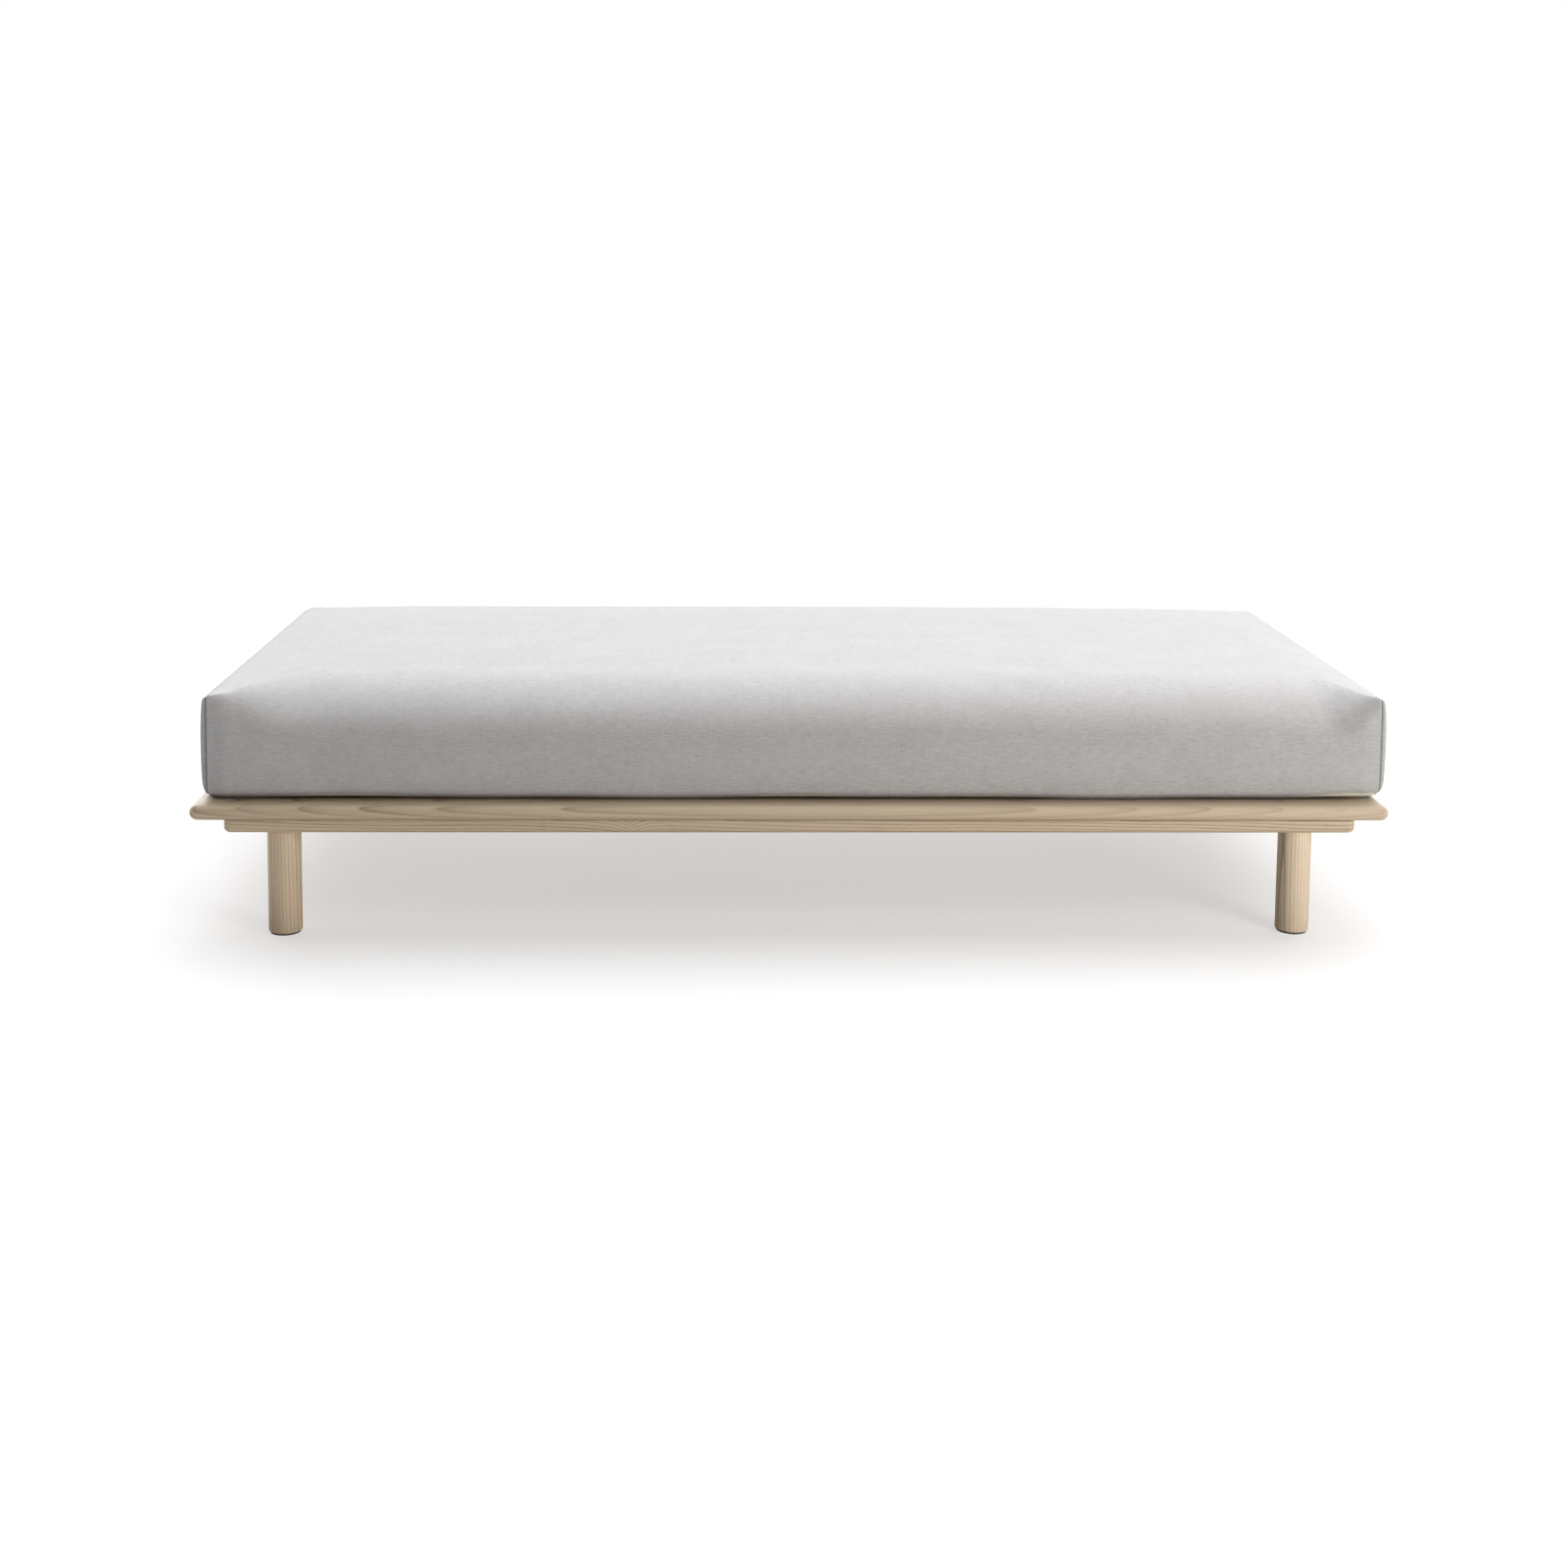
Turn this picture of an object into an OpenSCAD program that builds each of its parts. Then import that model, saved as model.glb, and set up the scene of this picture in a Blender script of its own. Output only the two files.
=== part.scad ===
// Low single bed: a two-layer plank frame on four round legs, with a lift-out slat roll
// and a fitted mattress whose cover zips along the rear. Millimetres, +Z up, origin on the
// floor under the middle of the bed, +X along its length and -Y towards its open front.

/* [Board ring] */
// How far the boards reach past each end of the mattress
end_margin = 10; // [0:1:60]
// How far the boards reach past each long side of the mattress
side_margin = 40; // [10:1:60]
// Thickness of the top boards, which is also the diameter of their rounded edge
board_thickness = 25; // [20:1:32]
// Width of each top board
board_width = 100; // [80:1:125]
// How much larger the ring's corner radius, seen from above, is than its rounded edge's
board_corner_extra = 2; // [1:1:20]
// Gap left at every butt joint between boards
joint_gap = 0.2; // [0.1:0.1:0.6]

/* [Bearers] */
// Thickness of the bearers under the boards
bearer_thickness = 22; // [18:1:30]
// How far the long bearers sit behind the board's edge
bearer_setback = 8; // [4:1:15]
// How far the bearers stop short of the board's ends
bearer_end_setback = 55; // [40:1:70]
// How far the long bearers reach inside the boards to carry the slats
ledge_depth = 30; // [22:1:40]
// Roundover of the bearers' lower outer edge
bearer_edge_radius = 8; // [4:0.5:11]
// Radius of the bearers' outer corners, seen from above
bearer_corner_radius = 14; // [12:1:24]
// Width of the cross bearers at the ends
cross_bearer_width = 90; // [78:1:110]
// How far the cross bearer in the middle reaches under the slats beside it
middle_bearer_lap = 4.2; // [3:0.1:12]

/* [Legs] */
// Diameter of a leg
leg_diameter = 56; // [46:1:64]
// Height of a leg's wood
leg_height = 175; // [140:1:260]
// Roundover at the foot of a leg
leg_edge_radius = 2.5; // [1:0.5:6]
// From the bearer's face to the middle of a leg
leg_side_inset = 34; // [32:1:45]
// From the bearer's end to the middle of a leg
leg_end_inset = 95; // [80:1:130]

/* [Felt pads] */
// How far a foot pad stays inside the rim of its leg
pad_inset = 3; // [3:0.5:8]
// Thickness of a foot pad
pad_thickness = 3; // [2:0.5:6]

/* [Fasteners] */
// Diameter of a leg's hanger bolt
leg_bolt_diameter = 8; // [6:1:10]
// Depth of the hanger bolt in the leg
leg_bolt_depth = 50; // [35:1:70]
// Wood left over the tips of the leg bolts and bearer screws
tip_cover = 9; // [6:0.5:12]
// Diameter of the threaded insert in the bearer
insert_diameter = 12; // [11:0.5:14]
// Wood of the bearer left over the threaded insert
insert_cover = 5; // [3:0.5:8]
// Diameter of the insert's flange
insert_flange_diameter = 17; // [15:0.5:20]
// Thickness of the insert's flange
insert_flange_thickness = 1.2; // [0.8:0.1:2]
// Diameter of a corner dowel
dowel_diameter = 8; // [6:1:10]
// Length of a corner dowel
dowel_length = 40; // [30:1:50]
// Diameter of a bearer screw's shank
screw_diameter = 4.2; // [3.5:0.1:5]
// Diameter of a bearer screw's countersunk head
screw_head_diameter = 8.4; // [7:0.1:10]
// Diameter of a plate screw's shank
plate_screw_diameter = 3.8; // [3:0.1:4.5]
// Diameter of a plate screw's pan head
plate_screw_head_diameter = 7.6; // [6:0.1:9]
// Height of a plate screw's pan head
plate_screw_head_height = 1.9; // [1.5:0.1:2.5]
// Width of the hexagonal recess in the screws' heads
drive_width = 3; // [2:0.1:3.5]
// Depth of that recess
drive_depth = 1.3; // [0.8:0.1:1.6]
// Wood of the bearer left over the tips of the plate screws
plate_screw_cover = 7.5; // [5:0.5:9]
// Clearance round every screw, bolt and dowel in its hole
fastener_clearance = 0.1; // [0.05:0.05:0.3]
// Length of a joint plate
plate_length = 108; // [90:1:116]
// Width of a joint plate
plate_width = 38; // [28:1:44]
// Thickness of a joint plate
plate_thickness = 2.5; // [2:0.5:4]
// Corner radius of a joint plate
plate_corner_radius = 6; // [3:1:10]

/* [Slat roll] */
// Width of a slat
slat_width = 70; // [55:1:84]
// How far the slats' tops lie below the tops of the boards
slat_recess = 2.7; // [2.3:0.1:6]
// Radius of a slat's long edges
slat_edge_radius = 3; // [1:0.5:5]
// Gap between a slat's end and the board beside it
slat_side_clearance = 2; // [1:0.5:4]
// Gap between the outermost slats and the end boards
slat_end_gap = 15; // [8:1:30]
// Width of the webbing straps
strap_width = 25; // [20:1:35]
// Thickness of the webbing straps
strap_thickness = 1.2; // [0.8:0.1:1.5]
// From a slat's end to the middle of the strap
strap_inset = 108; // [80:1:160]
// Width of a staple's crown
staple_width = 11; // [8:1:14]
// Diameter of the staples' wire
staple_wire = 0.7; // [0.5:0.1:0.9]

/* [Mattress] */
// Length of the mattress, which sets the length of the bed
mattress_length = 1990; // [1600:5:2400]
// Width of the mattress, which sets the depth of the bed
mattress_width = 900; // [700:5:1100]
// Thickness of the mattress
mattress_thickness = 175; // [140:1:210]
// Radius of the mattress's long upper edges
mattress_top_radius = 42; // [25:1:50]
// Radius of the mattress's long lower edges
mattress_bottom_radius = 20; // [12:1:25]
// Thickness of the cover's cloth with its wadding
cover_thickness = 2.5; // [1.5:0.5:4]
// Thickness of the cover's padded end panels
end_panel_thickness = 5; // [3:0.5:8]
// Thickness of the comfort layer on top of the firm core
comfort_thickness = 48; // [44:1:60]

/* [Cover zip] */
// Width of the zip's tape
tape_width = 22; // [18:1:28]
// Thickness of the zip's tape
tape_thickness = 0.8; // [0.5:0.1:1.2]
// Distance from the mattress's underside to the middle of the zip
zip_height = 34; // [31:1:45]
// Distance from the mattress's ends to the ends of the zip
zip_end_inset = 35; // [25:1:60]
// Width of the closed row of teeth
teeth_width = 5; // [4:0.5:6]
// Height of the closed row of teeth over the tape
teeth_height = 2; // [1.5:0.1:2.5]
// Length of the end stops
stop_length = 8; // [6:1:12]
// Length of the slider
slider_length = 15; // [12:1:20]
// Width of the slider
slider_width = 11; // [10:0.5:14]
// Wall thickness of the slider's two plates
slider_wall = 1.4; // [1:0.1:2]
// Diameter of the pin that the pull swings on
pull_pin_diameter = 2.4; // [2:0.1:3]
// Length of the pull, from its pin to its free end
pull_length = 27; // [20:1:32]
// Width of the pull
pull_width = 6.5; // [5:0.5:7]

/* [Clearances] */
// Gap between pieces that lift apart
seat_clearance = 0.3; // [0.2:0.1:1]
// Gap between the slider and the zip that it runs on
slider_clearance = 0.3; // [0.2:0.1:0.5]
// Radial clearance of the pull on its pin
pull_pin_clearance = 0.08; // [0.05:0.01:0.1]

/* [Hidden] */
SLAT_COUNT = 14;
function slat_name(i) = str("slat_", i < 10 ? "0" : "", i);

$fn = 64;
CUT = 1;                  // how far a cutting shape runs past what it cuts
LEFT = -1;
RIGHT = 1;
FRONT = -1;
REAR = 1;

ash = [0.80, 0.70, 0.55];
ash_pale = [0.85, 0.77, 0.63];
cover_grey = [0.80, 0.80, 0.80];
cover_grey_side = [0.72, 0.72, 0.71];
foam_white = [0.93, 0.92, 0.86];
foam_blue = [0.75, 0.82, 0.88];
felt_brown = [0.40, 0.36, 0.32];
steel = [0.66, 0.67, 0.69];
webbing_white = [0.88, 0.87, 0.83];

// Levels, from the floor up
bearer_bottom = pad_thickness + leg_height;
bearer_top = bearer_bottom + bearer_thickness;
deck_top = bearer_top + board_thickness;
slat_bottom = bearer_top + seat_clearance;
slat_top = deck_top - slat_recess;
slat_thickness = slat_top - slat_bottom;
mattress_bottom = deck_top + seat_clearance;
mattress_top = mattress_bottom + mattress_thickness;
comfort_bottom = mattress_top - cover_thickness - comfort_thickness;

// Half lengths (X) and half depths (Y) of each layer
mattress_x = mattress_length / 2;
mattress_y = mattress_width / 2;
board_x = mattress_x + end_margin;
board_y = mattress_y + side_margin;
board_corner_radius = board_thickness / 2 + board_corner_extra;
opening_x = board_x - board_width;
opening_y = board_y - board_width;
bearer_x = board_x - bearer_end_setback;
bearer_y = board_y - bearer_setback;
ledge_y = opening_y - ledge_depth;
leg_x = bearer_x - leg_end_inset;
leg_y = bearer_y - leg_side_inset;

// Sizes and places of the fasteners
pad_diameter = leg_diameter - 2 * pad_inset;
screw_length = bearer_thickness + board_thickness - tip_cover;
leg_bolt_reach = bearer_thickness + board_thickness - tip_cover;
insert_length = bearer_thickness - insert_cover;
plate_screw_length = plate_thickness + bearer_thickness - plate_screw_cover;
leg_hole_radius = leg_bolt_diameter / 2 + fastener_clearance;
screw_head_depth = (screw_head_diameter - screw_diameter) / 2 + 1.2;
long_screw_count = 6;
long_screw_x = [for (i = [0:long_screw_count - 1])
    (leg_x - 1.6 * leg_diameter) * (2 * i / (long_screw_count - 1) - 1)];
long_screw_y = (bearer_y - bearer_edge_radius + opening_y) / 2;
end_screw_x = (bearer_x - bearer_edge_radius + opening_x) / 2;
end_screw_y = [for (i = [-1:1]) i * ledge_y * 0.66];
screw_points = concat(
    [for (x = long_screw_x, side = [FRONT, REAR]) [x, side * long_screw_y]],
    [for (y = end_screw_y, end = [LEFT, RIGHT]) [end * end_screw_x, y]]
);
dowel_inset = board_width * 0.27;
dowel_points = [for (end = [LEFT, RIGHT], side = [FRONT, REAR], inset = [dowel_inset, board_width - dowel_inset])
    [end * (board_x - inset), side * opening_y]];
plate_x = (bearer_x - cross_bearer_width + plate_width / 2 + opening_x) / 2;
plate_points = [for (x = [-plate_x, 0, plate_x], side = [FRONT, REAR]) [x, side * ledge_y]];
plate_screw_offsets = [for (share = [-0.38, -0.16, 0.16, 0.38]) share * plate_length];

// Places on the slat roll
slat_length = 2 * (opening_y - slat_side_clearance);
first_slat_x = -opening_x + slat_end_gap + slat_width / 2;
slat_pitch = -2 * first_slat_x / (SLAT_COUNT - 1);
function slat_x(i) = first_slat_x + (i - 1) * slat_pitch;
middle_bearer_width = slat_pitch - slat_width + 2 * middle_bearer_lap;
strap_y = slat_length / 2 - strap_inset;
staple_x_offset = slat_width / 4;

// Places on the zip, which lies on the mattress's rear face
zip_z = mattress_bottom + zip_height;
zip_x = mattress_x - zip_end_inset;
tape_face_y = mattress_y + tape_thickness;
teeth_face_y = tape_face_y + teeth_height;
slider_x = -zip_x + stop_length + slider_clearance + slider_length / 2;
slider_face_y = teeth_face_y + slider_clearance + slider_wall;
pull_y = slider_face_y + pull_pin_diameter / 2 + 1.2;
lug_thickness = (slider_width - pull_width) / 2 - slider_clearance;

// ---- Shared shapes ----

// Section of a top board: flat faces and a half-round outer edge at x = reach
module board_section(reach) {
    edge = board_thickness / 2;
    union() {
        square([reach - edge, board_thickness]);
        translate([reach - edge, edge]) circle(r = edge);
    }
}

// Section of a bearer: square above, with a roundover on its lower outer edge at x = reach
module bearer_section(reach) {
    edge = bearer_edge_radius;
    union() {
        translate([0, edge]) square([reach, bearer_thickness - edge]);
        square([reach - edge, bearer_thickness]);
        translate([reach - edge, edge]) circle(r = edge);
    }
}

// A straight stretch of the section children(), lying from x = from to x = to, facing -Y,
// with its outer edge at y = -outer; the section is drawn with the reach given to it
module long_stretch(from, to, outer, reach) {
    translate([from, reach - outer, 0])
        rotate([90, 0, 90])
            linear_extrude(height = to - from) mirror([1, 0]) children();
}

// The quarter turn of the section children() round a corner whose middle is at x, y
module corner_turn(x, y, start_angle) {
    translate([x, y, 0]) rotate([0, 0, start_angle]) rotate_extrude(angle = 90) children();
}

// One end of a board whose edge turns the corner: the piece beyond the corner's middle,
// along Y, facing LEFT or RIGHT, from y = from to y = to
module end_stretch(end, outer, from, to, reach) {
    translate([end * (outer - reach), to, 0])
        mirror([end == LEFT ? 1 : 0, 0, 0])
            rotate([90, 0, 0]) linear_extrude(height = to - from) children();
}

// A screw or bolt hole, drilled upwards from z = bottom
module upward_hole(x, y, bottom, radius, depth) {
    translate([x, y, bottom]) cylinder(r = radius, h = depth);
}

module countersunk_shape(x, y, grow) {
    neck = screw_diameter / 2 + grow;
    translate([x, y, bearer_bottom]) {
        cylinder(r1 = screw_head_diameter / 2 + grow, r2 = neck, h = screw_head_depth);
        cylinder(r = neck, h = screw_length + grow);
    }
}

module dowel_shape(point, grow) {
    translate([point[0], point[1] - dowel_length / 2 - grow, bearer_top + board_thickness / 2])
        rotate([-90, 0, 0]) cylinder(d = dowel_diameter + 2 * grow, h = dowel_length + 2 * grow);
}

module all_dowel_holes() {
    for (point = dowel_points) dowel_shape(point, fastener_clearance);
}

module all_screw_holes() {
    for (point = screw_points) countersunk_shape(point[0], point[1], fastener_clearance);
}

module all_plate_screw_holes() {
    for (point = plate_points, offset = plate_screw_offsets)
        upward_hole(point[0], point[1] + offset, bearer_bottom - plate_thickness - CUT,
            plate_screw_diameter / 2 + fastener_clearance,
            plate_thickness + CUT + plate_screw_length);
}

module all_leg_bolt_holes() {
    for (x = [-leg_x, leg_x], y = [-leg_y, leg_y]) {
        upward_hole(x, y, bearer_bottom - CUT, leg_hole_radius,
            leg_bolt_reach + fastener_clearance + CUT);
        upward_hole(x, y, bearer_bottom - CUT, insert_diameter / 2, insert_length + CUT);
        upward_hole(x, y, bearer_bottom - CUT, insert_flange_diameter / 2,
            insert_flange_thickness + CUT);
    }
}

// ---- Board ring: long rails run through, end boards butt between them ----

module long_rail(side) {
    corner_x = board_x - board_corner_radius;
    corner_y = board_y - board_corner_radius;
    inner_y = opening_y + joint_gap;
    color(ash) rotate([0, 0, side == REAR ? 180 : 0]) difference() {
        translate([0, 0, bearer_top]) union() {
            long_stretch(-corner_x, corner_x, board_y, board_y - inner_y)
                board_section(board_y - inner_y);
            corner_turn(corner_x, -corner_y, -90) board_section(board_corner_radius);
            corner_turn(-corner_x, -corner_y, 180) board_section(board_corner_radius);
            for (end = [LEFT, RIGHT])
                end_stretch(end, board_x, -corner_y, -inner_y, board_corner_radius)
                    board_section(board_corner_radius);
        }
        all_dowel_holes();
        all_screw_holes();
        all_leg_bolt_holes();
    }
}

module end_board(end) {
    color(ash) difference() {
        translate([0, 0, bearer_top])
            end_stretch(end, board_x, -opening_y, opening_y, board_width) board_section(board_width);
        all_dowel_holes();
        all_screw_holes();
    }
}

// ---- Bearers: long ones run through and carry the slats' ends ----

module long_bearer(side) {
    corner_x = bearer_x - bearer_corner_radius;
    corner_y = bearer_y - bearer_corner_radius;
    inner_y = ledge_y + joint_gap;
    color(ash) rotate([0, 0, side == REAR ? 180 : 0]) difference() {
        translate([0, 0, bearer_bottom]) union() {
            long_stretch(-corner_x, corner_x, bearer_y, bearer_y - inner_y)
                bearer_section(bearer_y - inner_y);
            corner_turn(corner_x, -corner_y, -90) bearer_section(bearer_corner_radius);
            corner_turn(-corner_x, -corner_y, 180) bearer_section(bearer_corner_radius);
            for (end = [LEFT, RIGHT])
                end_stretch(end, bearer_x, -corner_y, -inner_y, bearer_corner_radius)
                    bearer_section(bearer_corner_radius);
        }
        all_screw_holes();
        all_plate_screw_holes();
        all_leg_bolt_holes();
    }
}

module end_cross_bearer(end) {
    color(ash) difference() {
        translate([0, 0, bearer_bottom])
            end_stretch(end, bearer_x, -ledge_y, ledge_y, cross_bearer_width)
                bearer_section(cross_bearer_width);
        all_screw_holes();
        all_plate_screw_holes();
    }
}

module middle_cross_bearer() {
    color(ash) difference() {
        translate([-middle_bearer_width / 2, -ledge_y, bearer_bottom])
            cube([middle_bearer_width, 2 * ledge_y, bearer_thickness]);
        all_plate_screw_holes();
    }
}

// ---- Legs, pads and fasteners ----

module leg(end, side) {
    radius = leg_diameter / 2;
    edge = leg_edge_radius;
    color(ash_pale) translate([end * leg_x, side * leg_y, pad_thickness]) difference() {
        rotate_extrude() union() {
            square([radius - edge, leg_height]);
            translate([0, edge]) square([radius, leg_height - edge]);
            intersection() {
                translate([radius - edge, edge]) circle(r = edge);
                square([radius, leg_height]);
            }
        }
        translate([0, 0, leg_height - leg_bolt_depth - fastener_clearance])
            cylinder(r = leg_hole_radius, h = leg_bolt_depth + fastener_clearance + CUT);
    }
}

module foot_pad(end, side) {
    color(felt_brown) translate([end * leg_x, side * leg_y, 0])
        cylinder(d = pad_diameter, h = pad_thickness);
}

module leg_bolts() {
    color(steel) for (x = [-leg_x, leg_x], y = [-leg_y, leg_y])
        translate([x, y, bearer_bottom - leg_bolt_depth])
            cylinder(d = leg_bolt_diameter, h = leg_bolt_depth + leg_bolt_reach);
}

module leg_inserts() {
    color(steel) for (x = [-leg_x, leg_x], y = [-leg_y, leg_y])
        translate([x, y, bearer_bottom]) difference() {
            union() {
                cylinder(d = insert_diameter, h = insert_length);
                cylinder(d = insert_flange_diameter, h = insert_flange_thickness);
            }
            translate([0, 0, -CUT]) cylinder(r = leg_hole_radius, h = insert_length + 2 * CUT);
        }
}

module corner_dowels() {
    color(ash_pale) for (point = dowel_points) dowel_shape(point, 0);
}

// The hexagonal recess that a screw is driven by, cut into a head whose face is at z = bottom
module drive_recess(point, bottom) {
    translate([point[0], point[1], bottom - CUT])
        cylinder(d = drive_width, h = drive_depth + CUT, $fn = 6);
}

module bearer_screws() {
    color(steel) difference() {
        for (point = screw_points) countersunk_shape(point[0], point[1], 0);
        for (point = screw_points) drive_recess(point, bearer_bottom);
    }
}

module joint_plate(point) {
    span_x = plate_width - 2 * plate_corner_radius;
    span_y = plate_length - 2 * plate_corner_radius;
    color(steel) difference() {
        translate([point[0], point[1], bearer_bottom - plate_thickness]) union() {
            translate([-plate_width / 2, -span_y / 2, 0]) cube([plate_width, span_y, plate_thickness]);
            translate([-span_x / 2, -plate_length / 2, 0]) cube([span_x, plate_length, plate_thickness]);
            for (x = [-1, 1] * span_x / 2, y = [-1, 1] * span_y / 2)
                translate([x, y, 0]) cylinder(r = plate_corner_radius, h = plate_thickness);
        }
        all_plate_screw_holes();
    }
}

module plate_screws() {
    head_bottom = bearer_bottom - plate_thickness - plate_screw_head_height;
    points = [for (plate = plate_points, offset = plate_screw_offsets) plate + [0, offset]];
    color(steel) difference() {
        for (point = points) translate([point[0], point[1], head_bottom]) {
            cylinder(d1 = plate_screw_head_diameter * 0.7, d2 = plate_screw_head_diameter,
                h = plate_screw_head_height);
            cylinder(d = plate_screw_diameter, h = plate_screw_head_height + plate_screw_length);
        }
        for (point = points) drive_recess(point, head_bottom);
    }
}

// ---- Slat roll ----

// A slat's section across its length, with four softened edges
module slat_section() {
    half = slat_width / 2;
    edge = slat_edge_radius;
    union() {
        translate([edge - half, 0]) square([slat_width - 2 * edge, slat_thickness]);
        translate([-half, edge]) square([slat_width, slat_thickness - 2 * edge]);
        for (x = [edge - half, half - edge], z = [edge, slat_thickness - edge])
            translate([x, z]) circle(r = edge);
    }
}

module slat(i) {
    color(ash_pale) translate([slat_x(i), slat_length / 2, slat_bottom])
        rotate([90, 0, 0]) linear_extrude(height = slat_length) slat_section();
}

module strap(side) {
    reach = -first_slat_x + slat_width / 2;
    color(webbing_white)
        translate([-reach, side * strap_y - strap_width / 2, slat_top])
            cube([2 * reach, strap_width, strap_thickness]);
}

// The crown of each staple, lying across the strap; its legs are buried in the slat
module strap_staples() {
    color(steel) for (i = [1:SLAT_COUNT], side = [FRONT, REAR], x = [-1, 1] * staple_x_offset)
        translate([slat_x(i) + x - staple_wire / 2, side * strap_y - staple_width / 2,
                slat_top + strap_thickness])
            cube([staple_wire, staple_width, staple_wire]);
}

// ---- Mattress: two foam layers in a sewn cover ----

// The mattress's section across its length, taken in by inset on every side
module mattress_section(inset) {
    half = mattress_y - inset;
    low = mattress_bottom + inset;
    high = mattress_top - inset;
    top_edge = mattress_top_radius - inset;
    low_edge = mattress_bottom_radius - inset;
    union() {
        translate([-half, low + low_edge])
            square([2 * half, high - low - top_edge - low_edge]);
        translate([top_edge - half, low + low_edge])
            square([2 * (half - top_edge), high - low - low_edge]);
        translate([low_edge - half, low]) square([2 * (half - low_edge), 2 * low_edge]);
        for (y = [top_edge - half, half - top_edge]) translate([y, high - top_edge]) circle(r = top_edge);
        for (y = [low_edge - half, half - low_edge]) translate([y, low + low_edge]) circle(r = low_edge);
    }
}

// A length of the mattress's section, from x = from to x = to
module mattress_run(from, to, inset) {
    translate([from, 0, 0]) rotate([90, 0, 90]) linear_extrude(height = to - from)
        mattress_section(inset);
}

module foam_layer(low, high) {
    inner_x = mattress_x - end_panel_thickness;
    intersection() {
        mattress_run(-inner_x, inner_x, cover_thickness);
        translate([-mattress_x, -mattress_y, low]) cube([mattress_length, mattress_width, high - low]);
    }
}

module core_foam() {
    color(foam_white) foam_layer(mattress_bottom, comfort_bottom);
}

module comfort_foam() {
    color(foam_blue) foam_layer(comfort_bottom, mattress_top);
}

// Front, top and back in one length of cloth, open underneath
module cover_main_panel() {
    seam_x = mattress_x - end_panel_thickness;
    base_y = mattress_y - mattress_bottom_radius;
    color(cover_grey) difference() {
        mattress_run(-seam_x, seam_x, 0);
        mattress_run(-seam_x - CUT, seam_x + CUT, cover_thickness);
        translate([-seam_x - CUT, -base_y, mattress_bottom - CUT])
            cube([2 * (seam_x + CUT), 2 * base_y, CUT + cover_thickness]);
    }
}

module cover_base_panel() {
    seam_x = mattress_x - end_panel_thickness;
    base_y = mattress_y - mattress_bottom_radius;
    color(cover_grey_side) translate([-seam_x, -base_y, mattress_bottom])
        cube([2 * seam_x, 2 * base_y, cover_thickness]);
}

module cover_end_panel(end) {
    inner_x = mattress_x - end_panel_thickness;
    color(cover_grey_side)
        mattress_run(end == LEFT ? -mattress_x : inner_x, end == LEFT ? -inner_x : mattress_x, 0);
}

// ---- Zip along the cover's rear face ----

module zip_tape() {
    color(cover_grey_side) translate([-zip_x, mattress_y, zip_z - tape_width / 2])
        cube([2 * zip_x, tape_thickness, tape_width]);
}

module zip_teeth() {
    run_x = zip_x - stop_length;
    color(cover_grey_side) translate([-run_x, tape_face_y, zip_z - teeth_width / 2])
        cube([2 * run_x, teeth_height, teeth_width]);
}

module zip_stops() {
    color(steel) for (x = [-zip_x, zip_x - stop_length])
        translate([x, tape_face_y, zip_z - teeth_width / 2 - 1])
            cube([stop_length, teeth_height + slider_wall, teeth_width + 2]);
}

// Front plate, two side walls that hug the teeth, and two lugs that hold the pull's pin
module zip_slider() {
    wall_z = teeth_width / 2 + slider_clearance;
    wall_y = tape_face_y + slider_clearance;
    color(steel) translate([slider_x, 0, zip_z]) union() {
        translate([-slider_length / 2, slider_face_y - slider_wall, -slider_width / 2])
            cube([slider_length, slider_wall, slider_width]);
        for (low = [-slider_width / 2, wall_z])
            translate([-slider_length / 2, wall_y, low])
                cube([slider_length, slider_face_y - wall_y, slider_width / 2 - wall_z]);
        for (low = [-slider_width / 2, slider_width / 2 - lug_thickness])
            translate([-pull_pin_diameter, slider_face_y, low])
                cube([2 * pull_pin_diameter, pull_y - slider_face_y + pull_pin_diameter, lug_thickness]);
        translate([0, pull_y, -slider_width / 2]) cylinder(d = pull_pin_diameter, h = slider_width);
    }
}

// A flat tab with an eye round the pin, lying along the zip towards its far end
module zip_pull() {
    eye_radius = pull_pin_diameter / 2 + 1;
    thickness = 1.8;
    color(steel) translate([slider_x, pull_y, zip_z - pull_width / 2]) difference() {
        union() {
            cylinder(r = eye_radius, h = pull_width);
            translate([0, -thickness / 2, 0]) cube([pull_length, thickness, pull_width]);
        }
        translate([0, 0, -CUT])
            cylinder(r = pull_pin_diameter / 2 + pull_pin_clearance, h = pull_width + 2 * CUT);
    }
}

long_rail(FRONT);  // front_rail
long_rail(REAR);  // rear_rail
end_board(LEFT);  // left_end_board
end_board(RIGHT);  // right_end_board
long_bearer(FRONT);  // front_bearer
long_bearer(REAR);  // rear_bearer
end_cross_bearer(LEFT);  // left_cross_bearer
end_cross_bearer(RIGHT);  // right_cross_bearer
middle_cross_bearer();
leg(LEFT, FRONT);  // leg_front_left
leg(RIGHT, FRONT);  // leg_front_right
leg(LEFT, REAR);  // leg_rear_left
leg(RIGHT, REAR);  // leg_rear_right
foot_pad(LEFT, FRONT);  // foot_pad_front_left
foot_pad(RIGHT, FRONT);  // foot_pad_front_right
foot_pad(LEFT, REAR);  // foot_pad_rear_left
foot_pad(RIGHT, REAR);  // foot_pad_rear_right
leg_bolts();
leg_inserts();
corner_dowels();
bearer_screws();
plate_screws();
joint_plate(plate_points[0]);  // plate_front_left
joint_plate(plate_points[1]);  // plate_rear_left
joint_plate(plate_points[2]);  // plate_front_middle
joint_plate(plate_points[3]);  // plate_rear_middle
joint_plate(plate_points[4]);  // plate_front_right
joint_plate(plate_points[5]);  // plate_rear_right
for (i = [1:SLAT_COUNT])
    slat(i);
strap(FRONT);  // strap_front
strap(REAR);  // strap_rear
strap_staples();
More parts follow.
